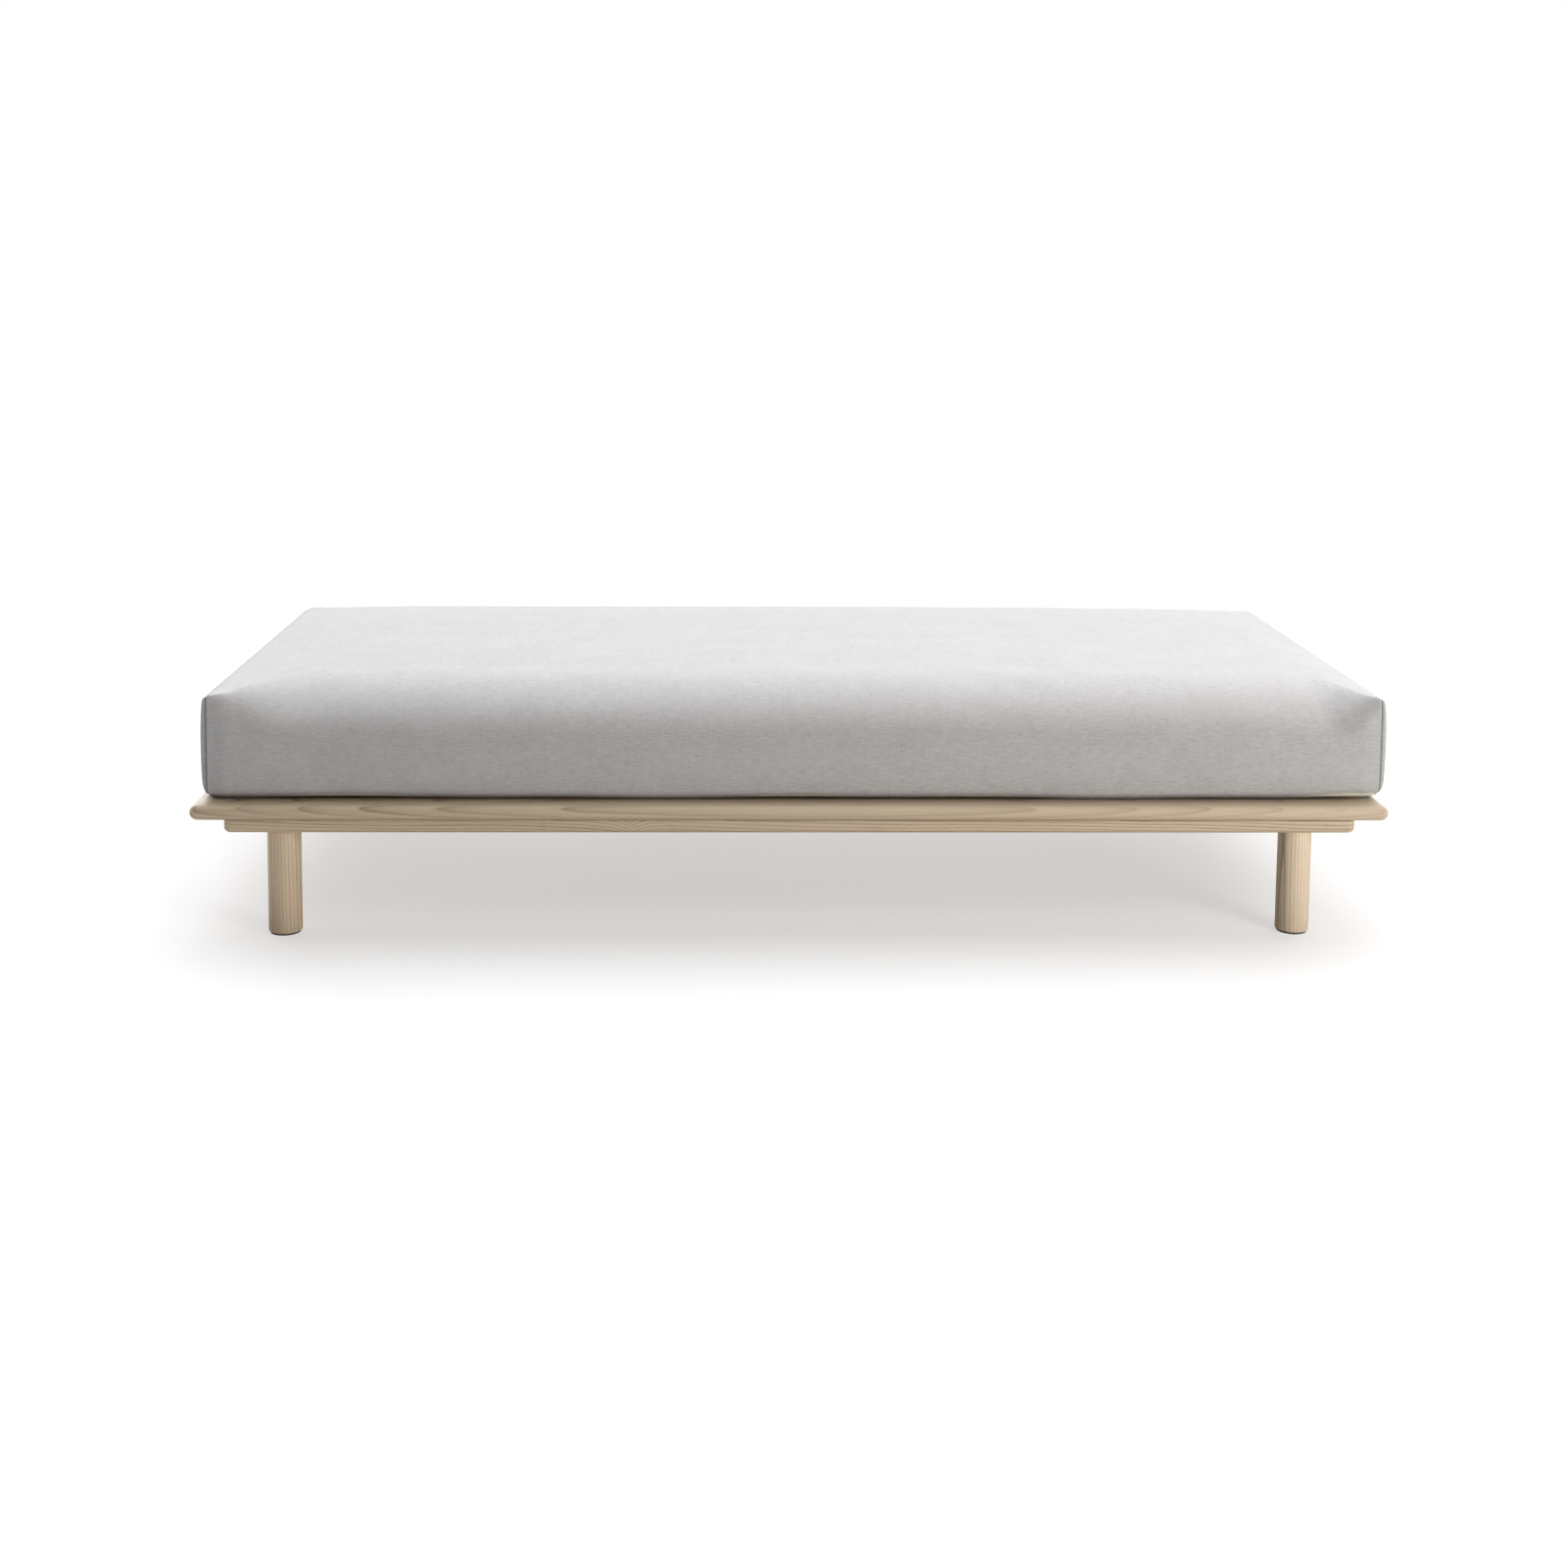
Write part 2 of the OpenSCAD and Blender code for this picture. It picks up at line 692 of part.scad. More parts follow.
core_foam();
comfort_foam();
cover_main_panel();
cover_end_panel(LEFT);  // cover_left_panel
cover_end_panel(RIGHT);  // cover_right_panel
cover_base_panel();
zip_tape();
zip_teeth();
zip_stops();
zip_slider();
zip_pull();
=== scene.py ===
"""Looks of a low single bed: an oiled ash plank frame on round legs, a slat roll and a linen mattress.

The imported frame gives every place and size. This file gives its pieces their finish, and the soft pieces
their shape.
"""

import math

import bmesh
import bpy
import numpy as np
from mathutils import Matrix, Vector


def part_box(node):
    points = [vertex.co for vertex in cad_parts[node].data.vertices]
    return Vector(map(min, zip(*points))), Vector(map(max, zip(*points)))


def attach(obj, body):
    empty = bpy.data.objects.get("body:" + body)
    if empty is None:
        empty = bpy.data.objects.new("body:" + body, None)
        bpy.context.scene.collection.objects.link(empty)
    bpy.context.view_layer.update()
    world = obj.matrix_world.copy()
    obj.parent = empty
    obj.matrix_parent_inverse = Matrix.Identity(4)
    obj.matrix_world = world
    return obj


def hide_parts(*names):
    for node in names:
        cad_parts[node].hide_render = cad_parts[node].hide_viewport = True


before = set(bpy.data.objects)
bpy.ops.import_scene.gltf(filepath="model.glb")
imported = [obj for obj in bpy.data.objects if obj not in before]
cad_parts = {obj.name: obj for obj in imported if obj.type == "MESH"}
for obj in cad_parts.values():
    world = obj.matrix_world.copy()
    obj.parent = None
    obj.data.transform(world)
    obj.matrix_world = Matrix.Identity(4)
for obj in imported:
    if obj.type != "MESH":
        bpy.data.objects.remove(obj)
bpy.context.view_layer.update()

# ---------------------------------------------------------------------------------------
# Camera. Stands a little left of the bed's middle at chest height, and looks slightly down
# at its long front side. The shift lets it look down less steeply, which keeps the bed's
# uprights nearly upright.
# ---------------------------------------------------------------------------------------
camera_place = Vector((-0.1375, -3.8318, 1.1325))
camera_yaw = math.radians(1.948)
camera_pitch = math.radians(6.0)
camera_roll = math.radians(0.5615)


def add_object(name, data):
    """Puts a mesh, light or camera into the scene under its name; gives the object."""
    made = bpy.data.objects.new(name, data)
    bpy.context.scene.collection.objects.link(made)
    return made


camera_data = bpy.data.cameras.new("front_camera")
camera_data.sensor_width = 36.0
camera_data.lens = 47.078
camera_data.shift_y = -0.1965
camera_data.clip_end = 200.0
camera = add_object("front_camera", camera_data)
camera.matrix_world = (
    Matrix.Translation(camera_place)
    @ Matrix.Rotation(-camera_yaw, 4, "Z")
    @ Matrix.Rotation(math.radians(90) - camera_pitch, 4, "X")
    @ Matrix.Rotation(camera_roll, 4, "Z")
)
bpy.context.scene.camera = camera

# ---------------------------------------------------------------------------------------
# Studio. A white floor under two broad lights from above and behind, with small warm lights
# on the right and one on the left, so that the front and its wide, faint floor shadow stay soft.
# ---------------------------------------------------------------------------------------
floor_reach = 60.0
floor_glow = 0.53
floor_seen = 0.435
floor_bounce = 0.53
broad_lights = {
    "ceiling_light": (2.6, math.radians(-32)),
    "window_light": (3.4, math.radians(-60)),
}
broad_spread = math.radians(80)
side_lights = {
    "low_front_light": ((2.6, -3.4, 0.9), 1.4, 49.0),
    "high_front_light": ((2.4, -2.6, 2.6), 1.6, 34.0),
    "high_rear_light": ((3.4, 1.2, 2.4), 1.8, 17.0),
    "left_fill_light": ((-3.6, 0.4, 0.6), 1.6, 14.0),
}
room_light = 0.068


def feed(tree, node, inputs):
    """Gives a node its inputs: linked if the value is a socket, and stored if it is a number or colour."""
    for key, value in inputs.items():
        if isinstance(value, bpy.types.NodeSocket):
            tree.links.new(value, node.inputs[key])
        else:
            node.inputs[key].default_value = value


def shader_node(tree, kind, inputs=None, **settings):
    """Adds one node with its settings and inputs."""
    made = tree.nodes.new(kind)
    for name, value in settings.items():
        setattr(made, name, value)
    feed(tree, made, inputs or {})
    return made


floor_mesh = bpy.data.meshes.new("studio_floor")
floor_mesh.from_pydata(
    [(x * floor_reach, y * floor_reach, 0) for x, y in ((-1, -1), (1, -1), (1, 1), (-1, 1))],
    [],
    [(0, 1, 2, 3)],
)
floor = add_object("studio_floor", floor_mesh)
# the floor glows a little to the eye, which thins its shadows, and is duller to bounced light
floor_paint = bpy.data.materials.new("studio_floor_paint")
floor_paint.use_nodes = True
floor_tree = floor_paint.node_tree
floor_tree.nodes.clear()
floor_rays = shader_node(floor_tree, "ShaderNodeLightPath").outputs["Is Camera Ray"]
bounced = shader_node(floor_tree, "ShaderNodeBsdfDiffuse", {"Color": (floor_bounce,) * 3 + (1,)})
seen_paint = shader_node(floor_tree, "ShaderNodeBsdfDiffuse", {"Color": (floor_seen,) * 3 + (1,)})
glow = shader_node(floor_tree, "ShaderNodeEmission", {"Color": (1, 1, 1, 1), "Strength": floor_glow})
seen_floor = shader_node(floor_tree, "ShaderNodeAddShader", {0: seen_paint.outputs[0], 1: glow.outputs[0]})
floor_mix = shader_node(
    floor_tree, "ShaderNodeMixShader", {0: floor_rays, 1: bounced.outputs[0], 2: seen_floor.outputs[0]}
)
shader_node(floor_tree, "ShaderNodeOutputMaterial", {"Surface": floor_mix.outputs[0]})
floor_mesh.materials.append(floor_paint)

for name, (strength, lean) in broad_lights.items():
    broad_data = bpy.data.lights.new(name, "SUN")
    broad_data.energy = strength
    broad_data.angle = broad_spread
    broad_data.color = (0.99, 0.985, 1.0)
    add_object(name, broad_data).rotation_euler = (lean, 0, 0)

for name, (place, size, power) in side_lights.items():
    side_data = bpy.data.lights.new(name, "AREA")
    side_data.shape = "DISK"
    side_data.size = size
    side_data.energy = power
    side_data.color = (1.0, 0.96, 0.91)
    side = add_object(name, side_data)
    side.location = place
    side.rotation_euler = (Vector((0, 0, 0.3)) - Vector(place)).to_track_quat("-Z", "Y").to_euler()

room = bpy.data.worlds.new("white_room")
bpy.context.scene.world = room
room.use_nodes = True
room_tree = room.node_tree
room_tree.nodes.clear()
seen = shader_node(room_tree, "ShaderNodeLightPath")
lighting = shader_node(
    room_tree, "ShaderNodeBackground", {"Color": (1.0, 0.99, 0.97, 1), "Strength": room_light}
)
backdrop = shader_node(room_tree, "ShaderNodeBackground", {"Color": (1, 1, 1, 1), "Strength": 1.0})
both = shader_node(
    room_tree,
    "ShaderNodeMixShader",
    {0: seen.outputs["Is Camera Ray"], 1: lighting.outputs[0], 2: backdrop.outputs[0]},
)
shader_node(room_tree, "ShaderNodeOutputWorld", {"Surface": both.outputs[0]})
bpy.context.scene.view_settings.view_transform = "Standard"

# ---------------------------------------------------------------------------------------
# Board ring. Four planks of flat-sawn ash, 25 mm thick with a half-round outer edge, oiled.
# The long rails run through and the end boards butt between them on dowels.
# ---------------------------------------------------------------------------------------
ash_pale = (0.74, 0.60, 0.42, 1)
ash_dark = (0.26, 0.165, 0.085, 1)


def sums(tree, operation, *values):
    """One Math node on up to three numbers or sockets; gives its output socket."""
    made = shader_node(tree, "ShaderNodeMath", dict(enumerate(values)), operation=operation)
    return made.outputs[0]


def stretched_noise(tree, point, stretch, detail, seed):
    """Noise whose grain is stretched: the point is scaled by stretch and moved by seed before it is read."""
    moved = (seed, seed * 0.7, seed * 1.3)
    scaled = shader_node(
        tree, "ShaderNodeVectorMath", {0: point, 1: stretch, 2: moved}, operation="MULTIPLY_ADD"
    )
    noise = shader_node(
        tree,
        "ShaderNodeTexNoise",
        {"Vector": scaled.outputs[0], "Scale": 1.0, "Detail": detail, "Roughness": 0.55},
    )
    return noise.outputs["Fac"]


def growth_rings_group():
    """Solid ash. The log's axis is the local X line through the origin. A point's ring number is its distance
    from that axis, plus slant times x, plus bow times x squared, plus a knot's bulge and a little noise, all
    over the ring width. Each ring starts with a dark porous line, crisp on its inner side, that fades into
    pale late wood as two exponentials of the distance from the ring's start over the line width. The lines'
    strength falls along x, by fade per metre."""
    tree = bpy.data.node_groups.new("ash_growth_rings", "ShaderNodeTree")
    io = tree.interface
    io.new_socket("Point", in_out="INPUT", socket_type="NodeSocketVector")
    for name, value in (
        ("Ring Width", 0.0035),
        ("Line Width", 0.0004),
        ("Bow", 0.0),
        ("Slant", 0.0),
        ("Waviness", 0.005),
        ("Line Strength", 0.8),
        ("Fade", 0.0),
        ("Knot Place", 0.0),
        ("Knot Height", 0.0),
    ):
        io.new_socket(name, in_out="INPUT", socket_type="NodeSocketFloat").default_value = value
    for name, value in (("Pale", ash_pale), ("Dark", ash_dark)):
        io.new_socket(name, in_out="INPUT", socket_type="NodeSocketColor").default_value = value
    io.new_socket("Colour", in_out="OUTPUT", socket_type="NodeSocketColor")
    io.new_socket("Roughness", in_out="OUTPUT", socket_type="NodeSocketFloat")
    io.new_socket("Height", in_out="OUTPUT", socket_type="NodeSocketFloat")
    given = shader_node(tree, "NodeGroupInput").outputs
    point = given["Point"]
    axes = shader_node(tree, "ShaderNodeSeparateXYZ", {"Vector": point}).outputs
    x, y, z = axes["X"], axes["Y"], axes["Z"]

    squares = sums(tree, "ADD", sums(tree, "MULTIPLY", y, y), sums(tree, "MULTIPLY", z, z))
    distance = sums(tree, "SQRT", squares)
    bowed = sums(tree, "MULTIPLY", sums(tree, "MULTIPLY", x, x), given["Bow"])
    slanted = sums(tree, "MULTIPLY", x, given["Slant"])
    broad = sums(tree, "SUBTRACT", stretched_noise(tree, point, (1.6, 9.0, 9.0), 2.0, 3.1), 0.5)
    waved = sums(tree, "MULTIPLY", broad, given["Waviness"])
    small = sums(tree, "SUBTRACT", stretched_noise(tree, point, (14.0, 55.0, 55.0), 2.0, 8.7), 0.5)
    rippled = sums(tree, "MULTIPLY", small, 0.0012)
    from_knot = sums(tree, "ABSOLUTE", sums(tree, "SUBTRACT", x, given["Knot Place"]))
    knot_fall = sums(tree, "EXPONENT", sums(tree, "MULTIPLY", from_knot, -38.0))
    knot = sums(tree, "MULTIPLY", knot_fall, given["Knot Height"])
    radius = distance
    for part in (bowed, slanted, waved, rippled, knot):
        radius = sums(tree, "ADD", radius, part)

    ring = sums(tree, "DIVIDE", radius, given["Ring Width"])
    band = sums(tree, "FRACT", ring)
    year = shader_node(
        tree, "ShaderNodeTexWhiteNoise", {"W": sums(tree, "FLOOR", ring)}, noise_dimensions="1D"
    ).outputs["Value"]
    into_ring = sums(tree, "DIVIDE", sums(tree, "MULTIPLY", band, given["Ring Width"]), given["Line Width"])
    crisp = sums(tree, "EXPONENT", sums(tree, "MULTIPLY", into_ring, -1.0))
    soft = sums(tree, "EXPONENT", sums(tree, "MULTIPLY", into_ring, -0.25))
    early = sums(tree, "MULTIPLY_ADD", soft, 0.4, sums(tree, "MULTIPLY", crisp, 0.6))
    late = sums(tree, "MULTIPLY", sums(tree, "POWER", band, 12.0), 0.25)
    year_strength = sums(tree, "MULTIPLY_ADD", year, 0.6, 0.5)
    line = sums(tree, "MULTIPLY", sums(tree, "MAXIMUM", early, late), year_strength)
    pore_noise = stretched_noise(tree, point, (75.0, 1500.0, 1500.0), 1.0, 5.3)
    pores = sums(tree, "MULTIPLY", sums(tree, "GREATER_THAN", pore_noise, 0.6), early)
    fibre = sums(tree, "SUBTRACT", stretched_noise(tree, point, (7.0, 520.0, 520.0), 3.0, 1.9), 0.5)
    tone = sums(tree, "SUBTRACT", stretched_noise(tree, point, (1.1, 14.0, 14.0), 2.0, 6.4), 0.5)

    faded = sums(tree, "SUBTRACT", 1.0, sums(tree, "MULTIPLY", x, given["Fade"]))
    marked = sums(tree, "MULTIPLY", given["Line Strength"], faded)
    strength = sums(tree, "MULTIPLY", sums(tree, "MULTIPLY_ADD", pores, 0.45, line), marked)
    mixed = shader_node(
        tree,
        "ShaderNodeMix",
        {"Factor": sums(tree, "MINIMUM", strength, 1.0), 6: given["Pale"], 7: given["Dark"]},
        data_type="RGBA",
    )
    shade = sums(tree, "MULTIPLY_ADD", fibre, 0.26, sums(tree, "MULTIPLY_ADD", tone, 0.22, 1.0))
    toned = shader_node(
        tree, "ShaderNodeVectorMath", {0: mixed.outputs[2], "Scale": shade}, operation="SCALE"
    )
    rough = sums(tree, "MULTIPLY_ADD", line, 0.14, sums(tree, "MULTIPLY_ADD", fibre, 0.12, 0.42))
    sunk = sums(tree, "MULTIPLY_ADD", pores, 0.8, line)
    height = sums(tree, "SUBTRACT", sums(tree, "MULTIPLY", fibre, 0.35), sunk)
    shader_node(
        tree, "NodeGroupOutput", {"Colour": toned.outputs[0], "Roughness": rough, "Height": height}
    )
    return tree


ash_rings = growth_rings_group()
GRAIN_ALONG = {"X": (0, 0, 0), "Y": (0, 0, math.radians(-90)), "Z": (0, math.radians(90), 0)}


def new_material(name):
    """A new node material; gives it with its node tree and its shader."""
    made = bpy.data.materials.new(name)
    made.use_nodes = True
    return made, made.node_tree, made.node_tree.nodes["Principled BSDF"]


def relief(tree, height, strength, depth):
    """Bumps of a height pattern, depth metres deep at most; gives the normal's socket."""
    return shader_node(
        tree, "ShaderNodeBump", {"Height": height, "Strength": strength, "Distance": depth}
    ).outputs[0]


def ash_material(name, along, pith, pale=ash_pale, dark=ash_dark, bump=0.35, **figure):
    """Oiled ash whose log ran along one axis through the point pith. The mapping turns that axis onto the
    ring group's X, so one group serves boards, bearers, slats and legs."""
    made, tree, shader = new_material(name)
    place = shader_node(tree, "ShaderNodeTexCoord").outputs["Object"]
    centred = shader_node(tree, "ShaderNodeVectorMath", {0: place, 1: pith}, operation="SUBTRACT")
    turned = shader_node(
        tree, "ShaderNodeMapping", {"Vector": centred.outputs[0], "Rotation": GRAIN_ALONG[along]}
    )
    rings = shader_node(tree, "ShaderNodeGroup", node_tree=ash_rings)
    feed(tree, rings, {"Point": turned.outputs[0], "Pale": pale, "Dark": dark})
    feed(tree, rings, {key.replace("_", " ").title(): value for key, value in figure.items()})
    normal = relief(tree, rings.outputs["Height"], bump, 0.0004)
    feed(tree, shader, {"Base Color": rings.outputs["Colour"], "Roughness": rings.outputs["Roughness"]})
    feed(tree, shader, {"Normal": normal, "Specular IOR Level": 0.35})
    return made


def smooth_faces_group():
    """Shades faces smooth, and keeps an edge hard where its faces meet at more than the given angle."""
    tree = bpy.data.node_groups.new("smooth_faces", "GeometryNodeTree")
    tree.interface.new_socket("Geometry", in_out="INPUT", socket_type="NodeSocketGeometry")
    tree.interface.new_socket("Geometry", in_out="OUTPUT", socket_type="NodeSocketGeometry")
    given = tree.nodes.new("NodeGroupInput")
    faces = tree.nodes.new("GeometryNodeSetShadeSmooth")
    edges = tree.nodes.new("GeometryNodeSetShadeSmooth")
    edges.domain = "EDGE"
    edges.inputs["Shade Smooth"].default_value = False
    angle = tree.nodes.new("GeometryNodeInputMeshEdgeAngle")
    sharp = tree.nodes.new("FunctionNodeCompare")
    sharp.inputs["B"].default_value = math.radians(33)
    result = tree.nodes.new("NodeGroupOutput")
    tree.links.new(given.outputs[0], faces.inputs["Geometry"])
    tree.links.new(faces.outputs[0], edges.inputs["Geometry"])
    tree.links.new(angle.outputs["Unsigned Angle"], sharp.inputs["A"])
    tree.links.new(sharp.outputs[0], edges.inputs["Selection"])
    tree.links.new(edges.outputs[0], result.inputs[0])
    return tree


smooth_faces = smooth_faces_group()


def finish_node(node, material, edge=0.0):
    """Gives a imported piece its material, joins its loose triangles, rounds its arrises and shades it."""
    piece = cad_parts[node]
    piece.data.materials.clear()
    piece.data.materials.append(material)
    weld = piece.modifiers.new("join_triangles", "WELD")
    weld.merge_threshold = 1e-5
    if edge:
        arris = piece.modifiers.new("soft_arris", "BEVEL")
        arris.width = edge
        arris.segments = 2
        arris.limit_method = "ANGLE"
        arris.angle_limit = math.radians(40)
    shading = piece.modifiers.new("smooth_faces", "NODES")
    shading.node_group = smooth_faces


rail_low, rail_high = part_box("front_rail")
board_thickness = rail_high.z - rail_low.z
edge_middle = Vector((0, -rail_low.y - board_thickness / 2, rail_low.z + board_thickness / 2))
board_pale = (0.655, 0.535, 0.385, 1)
pith_depth = 0.032  # from the rounded edge's middle to the log's axis, inwards and down alike
board_figures = {
    "front_rail": ("X", (0.0, -edge_middle.y + pith_depth, edge_middle.z - pith_depth), -0.0366, 0.0065, 0.5),
    "rear_rail": ("X", (0.12, edge_middle.y - pith_depth, edge_middle.z - pith_depth), -0.033, 0.0064, 0.2),
    "left_end_board": ("Y", (rail_low.x + 0.046, 0.06, edge_middle.z - 0.05), -0.11, 0.0062, 0.0),
    "right_end_board": ("Y", (rail_high.x - 0.05, -0.09, edge_middle.z - 0.045), -0.10, 0.0060, 0.0),
}
for node, (along, pith, bow, ring_width, fade) in board_figures.items():
    ash = ash_material(
        f"{node}_ash",
        along,
        pith,
        pale=board_pale,
        bow=bow,
        ring_width=ring_width,
        line_width=0.0007,
        waviness=0.006,
        line_strength=0.62,
        fade=fade,
    )
    finish_node(node, ash, edge=0.0006)

# ---------------------------------------------------------------------------------------
# Bearers. Straight-grained ash planks screwed under the boards; the long ones stick out
# inwards as the ledge that carries the slats, and the cross bearers are plated between them.
# ---------------------------------------------------------------------------------------
bearer_low, bearer_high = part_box("front_bearer")
bearer_pale = (0.74, 0.60, 0.43, 1)
bearer_figures = {
    "front_bearer": ("X", (0.2, bearer_low.y + 0.03, bearer_low.z - 0.16), 0.0062, 0.022, -0.47),
    "rear_bearer": ("X", (-0.1, -bearer_low.y - 0.05, bearer_low.z - 0.13), 0.005, -0.012, 0.3),
    "left_cross_bearer": ("Y", (-0.86, 0.1, bearer_low.z - 0.12), 0.0054, 0.02, 0.2),
    "right_cross_bearer": ("Y", (0.88, -0.05, bearer_low.z - 0.1), 0.005, -0.022, 0.4),
    "middle_cross_bearer": ("Y", (0.03, 0.0, bearer_low.z - 0.09), 0.0052, 0.024, 0.1),
}
for node, (along, pith, ring_width, slant, knot_place) in bearer_figures.items():
    ash = ash_material(
        f"{node}_ash",
        along,
        pith,
        pale=bearer_pale,
        ring_width=ring_width,
        slant=slant,
        line_width=0.0011,
        waviness=0.036,
        line_strength=1.0,
        knot_place=knot_place,
        knot_height=0.016,
    )
    finish_node(node, ash, edge=0.0005)

# ---------------------------------------------------------------------------------------
# Legs. Turned from straight ash, so the growth rings show as upright stripes: close on the
# side towards the log's bark and broad on the side towards its heart.
# ---------------------------------------------------------------------------------------
leg_figures = {
    "leg_front_left": (-0.062, -0.030, (0.82, 0.66, 0.47, 1)),
    "leg_front_right": (-0.050, -0.034, (0.87, 0.72, 0.54, 1)),
    "leg_rear_left": (0.045, 0.040, (0.80, 0.65, 0.46, 1)),
    "leg_rear_right": (-0.020, 0.058, (0.84, 0.68, 0.49, 1)),
}
for node, (heart_x, heart_y, leg_pale) in leg_figures.items():
    low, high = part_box(node)
    middle = (low + high) / 2
    ash = ash_material(
        f"{node}_ash",
        "Z",
        (middle.x + heart_x, middle.y + heart_y, low.z),
        pale=leg_pale,
        ring_width=0.0058,
        line_width=0.0005,
        slant=0.012,
        waviness=0.005,
        line_strength=0.7,
    )
    finish_node(node, ash, edge=0.0004)

# ---------------------------------------------------------------------------------------
# Foot pads. Discs of pressed felt, glued into the foot of each leg.
# ---------------------------------------------------------------------------------------


def two_tones(tree, value, low_tone, high_tone, low=0.0, high=1.0):
    """Turns a number into a colour: one tone up to low, the other from high on; gives the colour's socket."""
    ramp = shader_node(tree, "ShaderNodeValToRGB", {"Fac": value})
    stops = ramp.color_ramp.elements
    stops[0].position = low
    stops[1].position = high
    stops[0].color = (*low_tone, 1)
    stops[1].color = (*high_tone, 1)
    return ramp.outputs[0]


felt, felt_tree, felt_shader = new_material("pressed_felt")
felt_place = shader_node(felt_tree, "ShaderNodeTexCoord").outputs["Object"]
felt_hair = stretched_noise(felt_tree, felt_place, (900.0, 900.0, 500.0), 4.0, 2.2)
felt_tint = two_tones(felt_tree, felt_hair, (0.05, 0.042, 0.035), (0.19, 0.165, 0.14))
felt_normal = relief(felt_tree, felt_hair, 0.7, 0.0006)
feed(felt_tree, felt_shader, {"Base Color": felt_tint, "Normal": felt_normal})
feed(felt_tree, felt_shader, {"Roughness": 0.95, "Sheen Weight": 0.3})
for node in ("foot_pad_front_left", "foot_pad_front_right", "foot_pad_rear_left", "foot_pad_rear_right"):
    finish_node(node, felt, edge=0.0005)

# ---------------------------------------------------------------------------------------
# Fixings. Zinc-plated screws, hanger bolts, inserts and joint plates, all under the bed,
# and fluted beech dowels inside the corner joints.
# ---------------------------------------------------------------------------------------


def zinc_material(name, tint, roughness, streak):
    """Plated steel: a cloudy tint from broad noise, and fine scratches stretched along one axis by streak."""
    made, tree, shader = new_material(name)
    place = shader_node(tree, "ShaderNodeTexCoord").outputs["Object"]
    cloud = stretched_noise(tree, place, (60.0, 60.0, 60.0), 3.0, 4.4)
    scratch = stretched_noise(tree, place, streak, 2.0, 7.7)
    colour = two_tones(tree, cloud, [c * 0.78 for c in tint], tint, low=0.3, high=0.7)
    rough = sums(tree, "MULTIPLY_ADD", scratch, 0.25, roughness - 0.12)
    normal = relief(tree, scratch, 0.15, 0.0001)
    feed(tree, shader, {"Base Color": colour, "Roughness": rough, "Normal": normal, "Metallic": 1.0})
    return made


bright_zinc = zinc_material("bright_zinc", (0.66, 0.67, 0.68), 0.32, (2500.0, 2500.0, 200.0))
plate_zinc = zinc_material("rolled_zinc_plate", (0.60, 0.61, 0.62), 0.38, (3000.0, 60.0, 3000.0))
for node in ("leg_bolts", "leg_inserts", "bearer_screws", "plate_screws", "strap_staples"):
    finish_node(node, bright_zinc)
for side_name in ("left", "middle", "right"):
    for long_side in ("front", "rear"):
        finish_node(f"plate_{long_side}_{side_name}", plate_zinc, edge=0.0003)
beech_pale = (0.62, 0.43, 0.27, 1)
beech_dark = (0.42, 0.25, 0.13, 1)
dowel_beech = ash_material(
    "dowel_beech", "Y", (0.3, 0.0, 0.1), pale=beech_pale, dark=beech_dark, ring_width=0.0022
)
finish_node("corner_dowels", dowel_beech)

# ---------------------------------------------------------------------------------------
# Slats. Fourteen planed spruce slats, raw. Three materials take turns along the roll, each
# with a log of its own, and a slat's grain differs with its place in that log.
# ---------------------------------------------------------------------------------------
slat_names = [f"slat_{number:02d}" for number in range(1, 15)]
spruce_pale = (0.78, 0.62, 0.41, 1)
spruce_dark = (0.58, 0.37, 0.18, 1)
slat_woods = [
    ash_material(
        f"planed_spruce_{kind}",
        "Y",
        (0.05 + 0.31 * kind, 0.1 * kind, 0.13 - 0.05 * kind),
        pale=spruce_pale,
        dark=spruce_dark,
        bump=0.2,
        bow=0.03,
        slant=0.02 * (kind - 1),
        ring_width=0.0036 + 0.0007 * kind,
        waviness=0.012,
        line_strength=0.5,
    )
    for kind in range(3)
]
for number, node in enumerate(slat_names):
    finish_node(node, slat_woods[number % len(slat_woods)])

# ---------------------------------------------------------------------------------------
# Slat straps. Two woven tapes stapled across the slats to keep them apart. Each lies flat
# on a slat and dips a little between two slats.
# ---------------------------------------------------------------------------------------


def cloth_mesh(name, points, uv, middle, closed=False):
    """A mesh of quads over a grid of points, points[i, j] being the surface at its i-th and j-th parameter
    values. A closed one joins its last column to its first. Faces are turned, all together, to look away
    from the point middle. uv is one pair per point."""
    rows, columns = points.shape[:2]
    index = np.arange(rows * columns).reshape(rows, columns)
    if closed:
        index = np.concatenate([index, index[:, :1]], axis=1)
    quads = np.stack([index[:-1, :-1], index[1:, :-1], index[1:, 1:], index[:-1, 1:]], axis=-1).reshape(-1, 4)
    flat = points.reshape(-1, 3)
    corners = flat[quads]
    normals = np.cross(corners[:, 2] - corners[:, 0], corners[:, 3] - corners[:, 1])
    outward = np.einsum("ij,ij->i", normals, corners.mean(axis=1) - np.array(middle)).sum()
    if outward < 0:
        quads = quads[:, ::-1]
    mesh = bpy.data.meshes.new(name)
    mesh.vertices.add(len(flat))
    mesh.vertices.foreach_set("co", flat.astype(np.float32).ravel())
    mesh.loops.add(quads.size)
    mesh.loops.foreach_set("vertex_index", quads.ravel().astype(np.int32))
    mesh.polygons.add(len(quads))
    mesh.polygons.foreach_set("loop_start", np.arange(0, quads.size, 4, dtype=np.int32))
    mesh.polygons.foreach_set("use_smooth", np.ones(len(quads), bool))
    mesh.update(calc_edges=True)
    layer = mesh.uv_layers.new(name="cloth")
    layer.data.foreach_set("uv", uv.reshape(-1, 2)[quads.ravel()].astype(np.float32).ravel())
    mesh.validate()
    return add_object(name, mesh)


